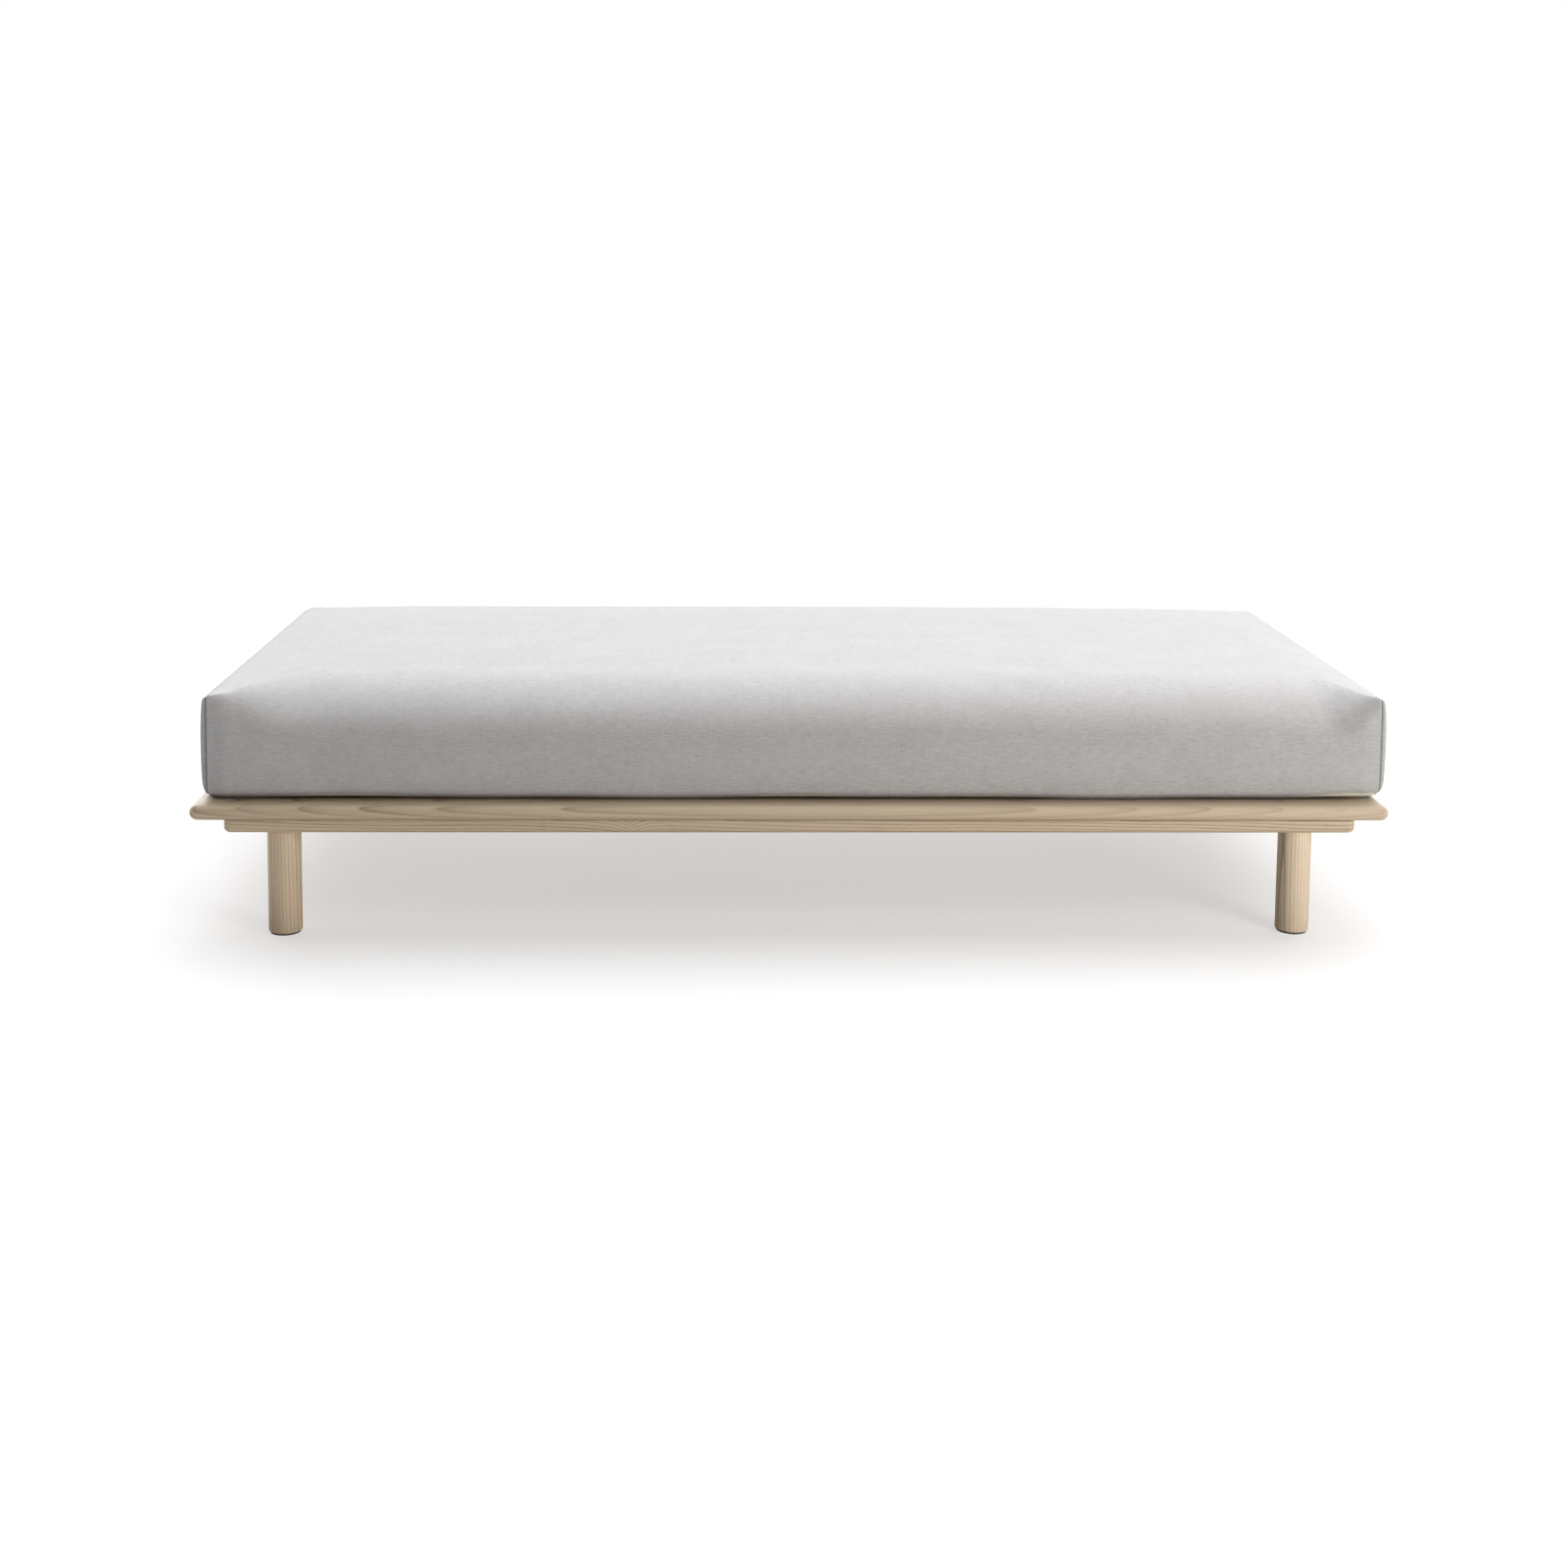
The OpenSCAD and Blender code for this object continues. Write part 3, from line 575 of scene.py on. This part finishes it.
def smooth_rise(values, low, high):
    """0 below low and 1 above high, with an S-shaped rise between them."""
    t = np.clip((values - low) / (high - low), 0, 1)
    return t * t * (3 - 2 * t)


def tape_material(name, tint, rib):
    """Woven tape, read from the cloth map: ribs every rib metres along it, crossed by wider cords."""
    made, tree, shader = new_material(name)
    place = shader_node(tree, "ShaderNodeUVMap", uv_map="cloth").outputs[0]
    axes = shader_node(tree, "ShaderNodeSeparateXYZ", {"Vector": place}).outputs
    ribs = sums(tree, "SINE", sums(tree, "MULTIPLY", axes["X"], 2 * math.pi / rib))
    cords = sums(tree, "SINE", sums(tree, "MULTIPLY", axes["Y"], 2 * math.pi / (rib * 1.4)))
    weave = sums(tree, "MULTIPLY", ribs, cords)
    yarn = stretched_noise(tree, place, (200.0, 900.0, 1.0), 2.0, 3.3)
    shade = sums(tree, "MULTIPLY_ADD", weave, 0.5, sums(tree, "MULTIPLY", yarn, 0.9))
    colour = two_tones(tree, shade, [c * 0.7 for c in tint], tint)
    feed(tree, shader, {"Base Color": colour, "Normal": relief(tree, weave, 0.5, 0.0003)})
    feed(tree, shader, {"Roughness": 0.85, "Sheen Weight": 0.15})
    return made


webbing = tape_material("woven_webbing", (0.74, 0.72, 0.66), 0.0016)
strap_dip = 0.003
slat_edges = np.array([[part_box(node)[0].x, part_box(node)[1].x] for node in slat_names])
for strap_name in ("strap_front", "strap_rear"):
    low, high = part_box(strap_name)
    along = np.linspace(low.x, high.x, 560)
    inside = np.max(np.minimum(along[:, None] - slat_edges[:, 0], slat_edges[:, 1] - along[:, None]), axis=1)
    gap_half = (slat_edges[1, 0] - slat_edges[0, 1]) / 2
    dip = strap_dip * (1 - (1 - np.clip(-inside / gap_half, 0, 1)) ** 2)
    half_thickness = (high.z - low.z) / 2
    round_angle = np.linspace(0, 2 * math.pi, 16, endpoint=False)
    # the section is a flattened ring: nearly the full width wide, with rounded selvedges
    across = np.sign(np.cos(round_angle)) * np.abs(np.cos(round_angle)) ** 0.35 * (high.y - low.y) / 2
    rise = np.sign(np.sin(round_angle)) * np.abs(np.sin(round_angle)) ** 0.6 * half_thickness
    centre_y = (low.y + high.y) / 2
    centre_z = (low.z + high.z) / 2
    points = np.empty((len(along), len(round_angle), 3))
    points[..., 0] = along[:, None]
    points[..., 1] = centre_y + across
    points[..., 2] = (centre_z - dip)[:, None] + rise
    ends = np.repeat(points[[0, -1]].mean(axis=1, keepdims=True), len(round_angle), axis=1)
    points = np.concatenate([ends[:1], points, ends[1:]], axis=0)
    uv = points[..., :2].copy()
    strap = cloth_mesh(f"{strap_name}_tape", points, uv, (0, centre_y, centre_z), closed=True)
    strap.data.materials.append(webbing)
    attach(strap, "slat_roll")
    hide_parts(strap_name)

# ---------------------------------------------------------------------------------------
# Mattress cover, main panel. One length of pale grey melange linen runs up the front, over
# the top and down the back. It is full and soft in the middle, and drawn in at the end seams.
# ---------------------------------------------------------------------------------------
linen_light = (0.62, 0.62, 0.62, 1)
linen_dark = (0.36, 0.36, 0.36, 1)


def linen_weave_group():
    """Plain-woven linen read from a cloth map in metres. Threads both ways differ in tone along their own
    length, thick dark slubs lie along the weft, and the height is the product of two thread waves."""
    tree = bpy.data.node_groups.new("linen_weave", "ShaderNodeTree")
    io = tree.interface
    io.new_socket("Cloth Place", in_out="INPUT", socket_type="NodeSocketVector")
    io.new_socket("Thread", in_out="INPUT", socket_type="NodeSocketFloat").default_value = 0.0011
    io.new_socket("Slubs", in_out="INPUT", socket_type="NodeSocketFloat").default_value = 1.0
    for name, value in (("Light", linen_light), ("Dark", linen_dark)):
        io.new_socket(name, in_out="INPUT", socket_type="NodeSocketColor").default_value = value
    io.new_socket("Colour", in_out="OUTPUT", socket_type="NodeSocketColor")
    io.new_socket("Height", in_out="OUTPUT", socket_type="NodeSocketFloat")
    given = shader_node(tree, "NodeGroupInput").outputs
    place = given["Cloth Place"]
    axes = shader_node(tree, "ShaderNodeSeparateXYZ", {"Vector": place}).outputs
    weft = stretched_noise(tree, place, (65.0, 640.0, 1.0), 2.0, 1.7)
    warp = stretched_noise(tree, place, (900.0, 38.0, 1.0), 2.0, 4.1)
    slub_noise = stretched_noise(tree, place, (95.0, 520.0, 1.0), 1.0, 9.2)
    slub_range = shader_node(
        tree, "ShaderNodeMapRange", {"Value": slub_noise, "From Min": 0.64, "From Max": 0.76}
    ).outputs[0]
    slub = sums(tree, "MULTIPLY", slub_range, given["Slubs"])
    cloud = stretched_noise(tree, place, (11.0, 16.0, 1.0), 3.0, 5.5)
    threads = sums(tree, "ADD", sums(tree, "MULTIPLY", weft, 1.15), sums(tree, "MULTIPLY", warp, 0.4))
    tone = sums(tree, "ADD", sums(tree, "SUBTRACT", threads, 0.48), sums(tree, "MULTIPLY", cloud, 0.3))
    shade = sums(tree, "ADD", tone, sums(tree, "MULTIPLY", slub, 0.6))
    mixed = shader_node(
        tree, "ShaderNodeMix", {"Factor": shade, 6: given["Light"], 7: given["Dark"]}, data_type="RGBA"
    )
    turns = sums(tree, "DIVIDE", 2 * math.pi, given["Thread"])
    weft_wave = sums(tree, "SINE", sums(tree, "MULTIPLY", axes["Y"], turns))
    warp_wave = sums(tree, "SINE", sums(tree, "MULTIPLY", axes["X"], turns))
    woven = sums(tree, "MULTIPLY", weft_wave, warp_wave)
    height = sums(tree, "ADD", sums(tree, "MULTIPLY", woven, 0.4), sums(tree, "ADD", weft, slub))
    shader_node(tree, "NodeGroupOutput", {"Colour": mixed.outputs[2], "Height": height})
    return tree


linen_weave = linen_weave_group()


def store_values(piece, name, values):
    """Keeps one number at each point of a cloth piece, for its material to read."""
    kept = piece.data.attributes.new(name, "FLOAT", "POINT")
    kept.data.foreach_set("value", np.ascontiguousarray(values, dtype=np.float32).ravel())


def linen_material(name, light=linen_light, dark=linen_dark, slubs=1.0, bump=0.35, painted_edge_shade=True):
    """Melange linen: weave, slubs and cloudy tone from the shared group, with a soft sheen at grazing angles.
    A seamed panel gets painted shade over the last millimetre before its seam, for the groove and its darker
    stitching, and a painted contact shadow where the main panel turns under onto the boards."""
    made, tree, shader = new_material(name)
    place = shader_node(tree, "ShaderNodeUVMap", uv_map="cloth").outputs[0]
    weave = shader_node(tree, "ShaderNodeGroup", node_tree=linen_weave)
    feed(tree, weave, {"Cloth Place": place, "Slubs": slubs, "Light": light, "Dark": dark})
    colour = weave.outputs["Colour"]
    if painted_edge_shade:
        # painted shade for the seam's groove, with the stitching's darker thread: the last 1.1 mm before a
        # seam darkens to 0.4
        from_seam = shader_node(tree, "ShaderNodeAttribute", attribute_name="from_seam").outputs["Fac"]
        shade = shader_node(
            tree, "ShaderNodeMapRange", {"Value": from_seam, "From Max": 0.0011, "To Min": 0.4, "To Max": 1.0}
        )
        # painted contact shadow: the cloth is up to 0.8 darker where the main panel turns under onto the
        # boards
        painted_contact_shadow = shader_node(tree, "ShaderNodeAttribute", attribute_name="painted_contact_shadow").outputs["Fac"]
        kept_light = sums(tree, "MULTIPLY", shade.outputs[0], sums(tree, "MULTIPLY_ADD", painted_contact_shadow, -0.8, 1.0))
        colour = shader_node(
            tree, "ShaderNodeVectorMath", {0: colour, "Scale": kept_light}, operation="SCALE"
        ).outputs[0]
    normal = relief(tree, weave.outputs["Height"], bump, 0.0004)
    feed(tree, shader, {"Base Color": colour, "Normal": normal, "Roughness": 0.9})
    feed(tree, shader, {"Specular IOR Level": 0.2, "Sheen Weight": 0.25, "Sheen Roughness": 0.5})
    return made


def give_thickness(piece, thickness):
    """Turns a cloth surface into a sheet, with its thickness on the inner side."""
    sheet = piece.modifiers.new("cloth_thickness", "SOLIDIFY")
    sheet.thickness = thickness
    sheet.offset = -1


cover_low, cover_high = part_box("cover_main_panel")
seam_x = cover_high.x + 0.002
lie_x = 0.008  # the mattress lies this far off the middle, towards the right
cover_y = cover_high.y
cover_bottom, cover_top = cover_low.z, cover_high.z
zip_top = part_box("zip_tape")[1].z + 0.004
# depth and height of the upper roundings: both where a seam draws them in, and each away from the seams
seam_corner = (0.005, 0.036)
front_shoulder = (0.200, 0.094)
rear_shoulder = (0.055, 0.048)
shoulder_start = -0.004  # the roundings grow from just past the seam
shoulder_reach = 0.095  # and have their full size this far from it
left_front_reach = 0.17  # but the front one takes longer at the left seam
lower_radius = 0.021
turned_under = 0.05  # how far the panel reaches in under the mattress
draw_in = 0.007  # how far a seam draws in the faces
draw_reach = 0.034
edge_roll = 0.0024  # how far the cloth rolls in at the seam itself
roll_reach = 0.004
top_rise = 0.012  # how far the top stands above its seams
rise_reach = 0.07
top_crown = 0.006
face_belly = 0.0045
cloth_thickness = 0.0012


def cover_sizes(x):
    """The sizes of the cover's cross-section at each x. Near a seam the two upper roundings shrink to a
    small corner, the front one over a longer stretch at the left, the faces and the top draw in, and the
    cloth rolls inwards. Small sine waves keep the long edges from being ruler-straight."""
    from_seam = seam_x - np.abs(x - lie_x)
    inner = smooth_rise(from_seam, 0.0, 0.10)
    front_reach = np.where(x < lie_x, left_front_reach, shoulder_reach)
    front_ease = smooth_rise(from_seam, shoulder_start, front_reach) ** 0.8
    rear_ease = smooth_rise(from_seam, shoulder_start, shoulder_reach) ** 0.8
    front = [small + (full - small) * front_ease for small, full in zip(seam_corner, front_shoulder)]
    rear = [small + (full - small) * rear_ease for small, full in zip(seam_corner, rear_shoulder)]
    roll = edge_roll * np.clip(1 - from_seam / roll_reach, 0, 1) ** 2
    half = cover_y - draw_in * (1 - smooth_rise(from_seam, 0.0, draw_reach)) - roll
    ripple = 0.0012 * np.sin(x * 7.1 + 0.6) + 0.0008 * np.sin(x * 17.3 + 2.0)
    low = cover_bottom + 0.0012 + ripple + roll
    low_front = low + 0.0045 * np.exp(-(((x - lie_x - seam_x + 0.05) / 0.06) ** 2))
    top = cover_top + top_rise * (1 - np.exp(-from_seam / rise_reach)) - roll
    top = top + 0.0012 * inner * np.sin(x * 3.3 + 1.0)
    return inner, half, low_front, low, top, front, rear


def cover_profile(x):
    """The cover's outline in the YZ plane at each x: points, and cloth lengths along the outline. It runs
    from the underside's front edge, up the front, over the top and down to the underside's rear edge, with
    a quarter ellipse at each corner and a low crown over the top. Away from the seams the faces belly out,
    the rear one only above the zip."""
    inner, half, low_front, low, top, (front_y, front_z), (rear_y, rear_z) = cover_sizes(x)
    under = np.linspace(0, 1, 5)[:, None]
    turn = np.linspace(0, math.pi / 2, 9)[:-1, None]
    wide_turn = np.linspace(0, math.pi / 2, 31)[:-1, None]
    face = np.linspace(0, 1, 13)[:-1, None]
    across = np.linspace(-1, 1, 51)[:-1, None]
    belly = face_belly * inner * np.sin(math.pi * face) ** 0.8
    crown = top_crown * inner * (1 - across**4) ** 1.5
    flat = half - lower_radius
    front_low, front_high = low_front + lower_radius, top - front_z
    rear_low, rear_high = low + lower_radius, top - rear_z
    above_zip = np.clip(face * (rear_high - rear_low) / (rear_high - zip_top), 0, 1)
    rear_belly = face_belly * inner * np.sin(math.pi * above_zip) ** 0.8
    middle = (front_y - rear_y) / 2
    reach = half - (front_y + rear_y) / 2
    stretches = (
        (-(half - turned_under) - under[:-1] * (turned_under - lower_radius), low_front + 0 * under[:-1]),
        (-flat - lower_radius * np.sin(turn), low_front + lower_radius * (1 - np.cos(turn))),
        (-half - belly, front_low + face * (front_high - front_low)),
        (-half + front_y * (1 - np.cos(wide_turn)), front_high + front_z * np.sin(wide_turn)),
        (middle + across * reach, top + crown),
        (half - rear_y * (1 - np.sin(wide_turn)), rear_high + rear_z * np.cos(wide_turn)),
        (half + rear_belly, rear_high + face * (rear_low - rear_high)),
        (flat + lower_radius * np.cos(turn), low + lower_radius * (1 - np.sin(turn))),
        (flat - under * (turned_under - lower_radius), low + 0 * under),
    )
    y = np.concatenate([part[0] + 0 * x for part in stretches])
    z = np.concatenate([part[1] + 0 * x for part in stretches])
    steps = np.hypot(np.diff(y, axis=0), np.diff(z, axis=0))
    length = np.concatenate([np.zeros((1, y.shape[1])), np.cumsum(steps, axis=0)])
    return y, z, length


# columns lie 1 mm apart at the seams, then under 5 mm, and 11 mm in the middle
near_seam = np.concatenate([np.linspace(0, 0.007, 8), np.linspace(0.007, 0.14, 30)[1:]])
middle_run = np.linspace(-(seam_x - 0.14), seam_x - 0.14, 158)[1:-1]
columns_x = lie_x + np.concatenate([-seam_x + near_seam, middle_run, (seam_x - near_seam)[::-1]])
outline_y, outline_z, outline_length = cover_profile(columns_x)
panel_points = np.stack([np.broadcast_to(columns_x, outline_y.shape), outline_y, outline_z], axis=-1)

# Dimples and faint draw lines beside each seam corner: each is a Gaussian hollow pressed along the outline's
# own normal, long in one direction and narrow in the other
tangent = np.gradient(panel_points, axis=0)
outline_normal = np.stack([np.zeros_like(outline_y), tangent[..., 2], -tangent[..., 1]], axis=-1)
outline_normal /= np.linalg.norm(outline_normal, axis=-1, keepdims=True)
outward_sign = np.sign(np.sum(outline_normal[60] * (panel_points[60] - np.array([0, 0, cover_bottom]))))
outline_normal *= outward_sign
hollow = np.zeros_like(outline_y)
for end in (-1, 1):
    for long_side in (-1, 1):
        for away, down, reach_x, reach_s, depth, lean in (
            (0.034, 0.030, 0.024, 0.034, 0.0022, 0.6),
            (0.075, 0.052, 0.034, 0.020, 0.0013, 0.9),
            (0.030, -0.050, 0.018, 0.040, 0.0018, -0.4),
            (0.110, 0.115, 0.045, 0.018, 0.0011, 0.7),
        ):
            dx = (seam_x - (columns_x - lie_x) * end)[None, :] - away
            ds = (cover_top - outline_z) - down if down > 0 else (cover_y - outline_y * long_side) + down
            side_mask = smooth_rise(outline_y * long_side, cover_y - 0.13, cover_y - 0.06)
            along = dx * math.cos(lean) - ds * math.sin(lean)
            across = dx * math.sin(lean) + ds * math.cos(lean)
            hollow += depth * side_mask * np.exp(-((along / reach_x) ** 2) - (across / reach_s) ** 2)
panel_points -= outline_normal * hollow[..., None]

panel_uv = np.stack([np.broadcast_to(columns_x, outline_length.shape), outline_length], axis=-1)
cover_middle = (0, 0, (cover_bottom + cover_top) / 2)
main_panel = cloth_mesh("cover_main_cloth", panel_points, panel_uv, cover_middle)
store_values(main_panel, "from_seam", np.broadcast_to(seam_x - np.abs(columns_x - lie_x), outline_y.shape))
# painted contact shadow along the cloth's lowest 12 mm, where it sits on the boards
lowest = outline_z.min(axis=0)
store_values(main_panel, "painted_contact_shadow", 1 - smooth_rise(outline_z - lowest, 0.0, 0.012))
main_panel.data.materials.append(linen_material("melange_linen"))
give_thickness(main_panel, cloth_thickness)
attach(main_panel, "mattress")
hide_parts("cover_main_panel")

# ---------------------------------------------------------------------------------------
# Mattress cover, end panels. Separate pieces of the same linen, sewn to the main panel right
# round their edge, so that they stand out a little like a drum skin beyond the seam.
# ---------------------------------------------------------------------------------------
skin_roll = 0.0115  # how far the skin stands out where it leaves the seam, and how much more at its middle
skin_belly = 0.0050
for end, panel_node in ((-1, "cover_left_panel"), (1, "cover_right_panel")):
    edge_y, edge_z, _ = cover_profile(np.array([lie_x + end * seam_x]))
    edge_y, edge_z = edge_y[:, 0], edge_z[:, 0]
    under_y = np.linspace(edge_y[-1], edge_y[0], 26)[1:-1]
    edge_y = np.concatenate([edge_y, under_y])
    edge_z = np.concatenate([edge_z, np.full(len(under_y), edge_z[-1])])
    middle_z = (edge_z.max() + edge_z.min()) / 2
    spine_half = cover_y - (edge_z.max() - edge_z.min()) / 2
    spine_y = np.clip(edge_y, -spine_half, spine_half)
    share = np.concatenate([[1.0, 0.99, 0.98, 0.965, 0.95, 0.93], np.linspace(0.91, 0.06, 19)])[:, None]
    rows_y = spine_y + (edge_y - spine_y) * share
    rows_z = middle_z + (edge_z - middle_z) * share
    # the skin rolls out of the seam over the first few millimetres, and then bellies out gently
    swell = skin_roll * np.sqrt(1 - share**16) + skin_belly * (1 - share**3)
    swell = swell * (0.8 + 0.2 * np.sin(np.pi * np.clip((rows_z - edge_z.min()) / np.ptp(edge_z), 0, 1)))
    rows_x = lie_x + end * (seam_x - 0.0005 + swell)
    points = np.stack([rows_x, rows_y, rows_z], axis=-1)
    uv = np.stack([rows_y, rows_z], axis=-1)
    panel = cloth_mesh(f"{panel_node}_cloth", points, uv, (0, 0, middle_z), closed=True)
    store_values(panel, "from_seam", (1 - share) * (cover_y - spine_half) + 0 * rows_y)
    # one flat face closes the innermost ring
    sheet = bmesh.new()
    sheet.from_mesh(panel.data)
    open_edges = [edge for edge in sheet.edges if edge.is_boundary]
    inner_edges = [edge for edge in open_edges if abs(edge.verts[0].co.z - middle_z) < 0.03]
    closing = bmesh.ops.holes_fill(sheet, edges=inner_edges, sides=0)["faces"]
    cloth_map = sheet.loops.layers.uv["cloth"]
    for face in closing:
        face.smooth = True
        for loop in face.loops:
            loop[cloth_map].uv = loop.vert.co.yz
    sheet.to_mesh(panel.data)
    sheet.free()
    panel.data.materials.append(linen_material(f"{panel_node}_linen", slubs=0.8))
    give_thickness(panel, cloth_thickness)
    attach(panel, "mattress")
    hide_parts(panel_node)

# ---------------------------------------------------------------------------------------
# Mattress cover, base. A darker non-slip cloth on the underside, lapped inside the turned-in
# edge of the main panel.
# ---------------------------------------------------------------------------------------
base_lap = 0.005  # how far the base reaches out over the main panel's turned-under edge
base_half_y = cover_y - turned_under + base_lap
base_x = lie_x + np.linspace(-seam_x + 0.001, seam_x - 0.001, 120)
base_y = np.linspace(-base_half_y, base_half_y, 60)
grid_x, grid_y = np.meshgrid(base_x, base_y, indexing="ij")
sag = 0.0006 * np.sin(grid_x * 21) * np.sin(grid_y * 17)
base_points = np.stack([grid_x, grid_y, cover_bottom + 0.0030 + sag], axis=-1)
base_cloth = cloth_mesh("cover_base_cloth", base_points, base_points[..., :2].copy(), (0, 0, cover_top))
base_light = (0.30, 0.30, 0.30, 1)
base_dark = (0.20, 0.20, 0.20, 1)
base_linen = linen_material("non_slip_base", base_light, base_dark, slubs=0.2, bump=0.6, painted_edge_shade=False)
base_cloth.data.materials.append(base_linen)
give_thickness(base_cloth, cloth_thickness)
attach(base_cloth, "mattress")
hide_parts("cover_base_panel")

# ---------------------------------------------------------------------------------------
# Foam. A firm core with a softer comfort layer glued on top, both wholly inside the cover.
# ---------------------------------------------------------------------------------------


def foam_block(name, low, high, gap):
    """A slab that fills the cover between two heights, gap inside it. For each x the section is a ring: up
    the cover's front, across its top, down its rear and back underneath, each side cut off at the slab's
    faces."""
    x = lie_x + np.linspace(-seam_x + gap, seam_x - gap, 90)
    _, half, _, _, top, front, rear = cover_sizes(x)
    high = np.minimum(high, top - gap)
    rise = np.linspace(0, 1, 17)[:, None]
    z = low + rise * (high - low)

    def side(shoulder):
        depth, height = shoulder
        into = np.clip((z + gap - (top - height)) / height, 0, 1)
        return half - gap - depth * (1 - np.sqrt(1 - into**2))

    across = np.linspace(0, 1, 30)[1:-1, None]
    front_side, rear_side = -side(front), side(rear)
    y = np.concatenate(
        [
            front_side,
            front_side[-1] + across * (rear_side[-1] - front_side[-1]),
            rear_side[::-1],
            rear_side[0] + across * (front_side[0] - rear_side[0]),
        ]
    )
    level = np.concatenate([z, z[-1] + 0 * across, z[::-1], z[0] + 0 * across])
    points = np.stack([np.broadcast_to(x, y.shape), y, level], axis=-1).transpose(1, 0, 2)
    ends = np.repeat(points[[0, -1]].mean(axis=1, keepdims=True), points.shape[1], axis=1)
    points = np.concatenate([ends[:1], points, ends[1:]])
    uv = points[..., :2].copy()
    return cloth_mesh(name, points, uv, (0, 0, (low + high.mean()) / 2), closed=True)


def foam_material(name, tint):
    """Cut foam: small open cells from a Voronoi pattern, with painted shade darkening each cell's hollow
    middle.
    """
    made, tree, shader = new_material(name)
    place = shader_node(tree, "ShaderNodeTexCoord").outputs["Object"]
    cells = shader_node(tree, "ShaderNodeTexVoronoi", {"Vector": place, "Scale": 700.0}).outputs["Distance"]
    # painted shade: the cells' middles, the open pores, are a quarter darker
    colour = two_tones(tree, cells, [c * 0.75 for c in tint], tint)
    normal = relief(tree, cells, 0.5, 0.0006)
    feed(tree, shader, {"Base Color": colour, "Normal": normal, "Roughness": 0.95})
    return made


foam_layers = {
    "core_foam": ((0.82, 0.80, 0.70), 0.005),
    "comfort_foam": ((0.60, 0.68, 0.76), 0.0),
}
for foam_node, (tint, low_gap) in foam_layers.items():
    foam_low, foam_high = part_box(foam_node)
    block = foam_block(f"{foam_node}_block", foam_low.z + low_gap, foam_high.z, 0.006)
    block.data.materials.append(foam_material(f"cut_{foam_node}", tint))
    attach(block, "mattress")
    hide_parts(foam_node)

# ---------------------------------------------------------------------------------------
# Zip. A closed coil zip on a woven tape, low on the rear face, with nickel stops, slider and
# pull. The teeth are small hooped wires, two rows locked into each other.
# ---------------------------------------------------------------------------------------
tape_low, tape_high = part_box("zip_tape")
tape_x = np.linspace(tape_low.x, tape_high.x, 240)
tape_z = np.linspace(tape_low.z, tape_high.z, 9)
grid_x, grid_z = np.meshgrid(tape_x, tape_z, indexing="ij")
tape_y = np.full_like(grid_x, tape_high.y)
points = np.stack([grid_x, tape_y, grid_z], axis=-1)
zip_tape = cloth_mesh("zip_tape_cloth", points, np.stack([grid_x, grid_z], axis=-1), (0, 0, tape_low.z))
zip_tape.data.materials.append(tape_material("zip_tape_weave", (0.50, 0.50, 0.50), 0.0012))
give_thickness(zip_tape, 0.0008)
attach(zip_tape, "mattress")
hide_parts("zip_tape")

teeth_low, teeth_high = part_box("zip_teeth")
tooth_pitch = 0.0021
tooth_count = int((teeth_high.x - teeth_low.x) / tooth_pitch)
bend = np.linspace(0, math.pi, 7)
ring = np.linspace(0, 2 * math.pi, 6, endpoint=False)
wire = 0.00042
hoop_height = teeth_high.y - teeth_low.y - wire
tooth_x = teeth_low.x + tooth_pitch * (np.arange(tooth_count) + 0.5)
middle_z = (teeth_low.z + teeth_high.z) / 2
reach_z = (teeth_high.z - teeth_low.z) / 2
rows = []
for row_side in (-1, 1):
    # each hoop is a half-ellipse from the tape's edge over the middle line, with a round wire section
    hoop_z = row_side * (0.35 - np.cos(bend) * 0.6) * reach_z
    hoop_y = np.sin(bend) * hoop_height
    centre = np.stack([np.zeros_like(bend), hoop_y, hoop_z], axis=-1)
    along_hoop = np.gradient(centre, axis=0)
    along_hoop /= np.linalg.norm(along_hoop, axis=-1, keepdims=True)
    side_way = np.array([1.0, 0, 0])
    up_way = np.cross(side_way, along_hoop)
    tube = centre[:, None] + wire * (
        np.cos(ring)[None, :, None] * side_way + np.sin(ring)[None, :, None] * up_way[:, None]
    )
    offset = np.array([tooth_pitch * 0.25 * row_side, teeth_low.y, middle_z])
    places = np.stack([tooth_x, np.zeros_like(tooth_x), np.zeros_like(tooth_x)], axis=-1)
    rows.append(tube[None] + offset + places[:, None, None])
hoops = np.concatenate(rows)
hoop_rows, hoop_columns = hoops.shape[1:3]
index = np.arange(hoops.shape[0] * hoop_rows * hoop_columns).reshape(hoops.shape[:3])
index = np.concatenate([index, index[:, :, :1]], axis=2)
corners = [index[:, :-1, :-1], index[:, 1:, :-1], index[:, 1:, 1:], index[:, :-1, 1:]]
quads = np.stack(corners, axis=-1).reshape(-1, 4)
caps = np.concatenate([index[:, 0, :-1][:, ::-1], index[:, -1, :-1]])
teeth_mesh = bpy.data.meshes.new("zip_coil")
teeth_mesh.from_pydata(hoops.reshape(-1, 3), [], quads.tolist() + caps.tolist())
teeth_mesh.polygons.foreach_set("use_smooth", np.ones(len(teeth_mesh.polygons), bool))
zip_coil = add_object("zip_coil", teeth_mesh)
coil_plastic, coil_tree, coil_shader = new_material("coil_plastic")
coil_place = shader_node(coil_tree, "ShaderNodeTexCoord").outputs["Object"]
coil_noise = stretched_noise(coil_tree, coil_place, (400.0, 400.0, 400.0), 2.0, 2.9)
coil_tint = two_tones(coil_tree, coil_noise, (0.40, 0.40, 0.40), (0.52, 0.52, 0.52))
feed(coil_tree, coil_shader, {"Base Color": coil_tint, "Roughness": 0.4})
teeth_mesh.materials.append(coil_plastic)
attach(zip_coil, "mattress")
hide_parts("zip_teeth")

nickel = zinc_material("satin_nickel", (0.60, 0.59, 0.57), 0.3, (2000.0, 300.0, 2000.0))
for node in ("zip_stops", "zip_slider", "zip_pull"):
    finish_node(node, nickel, edge=0.0002)
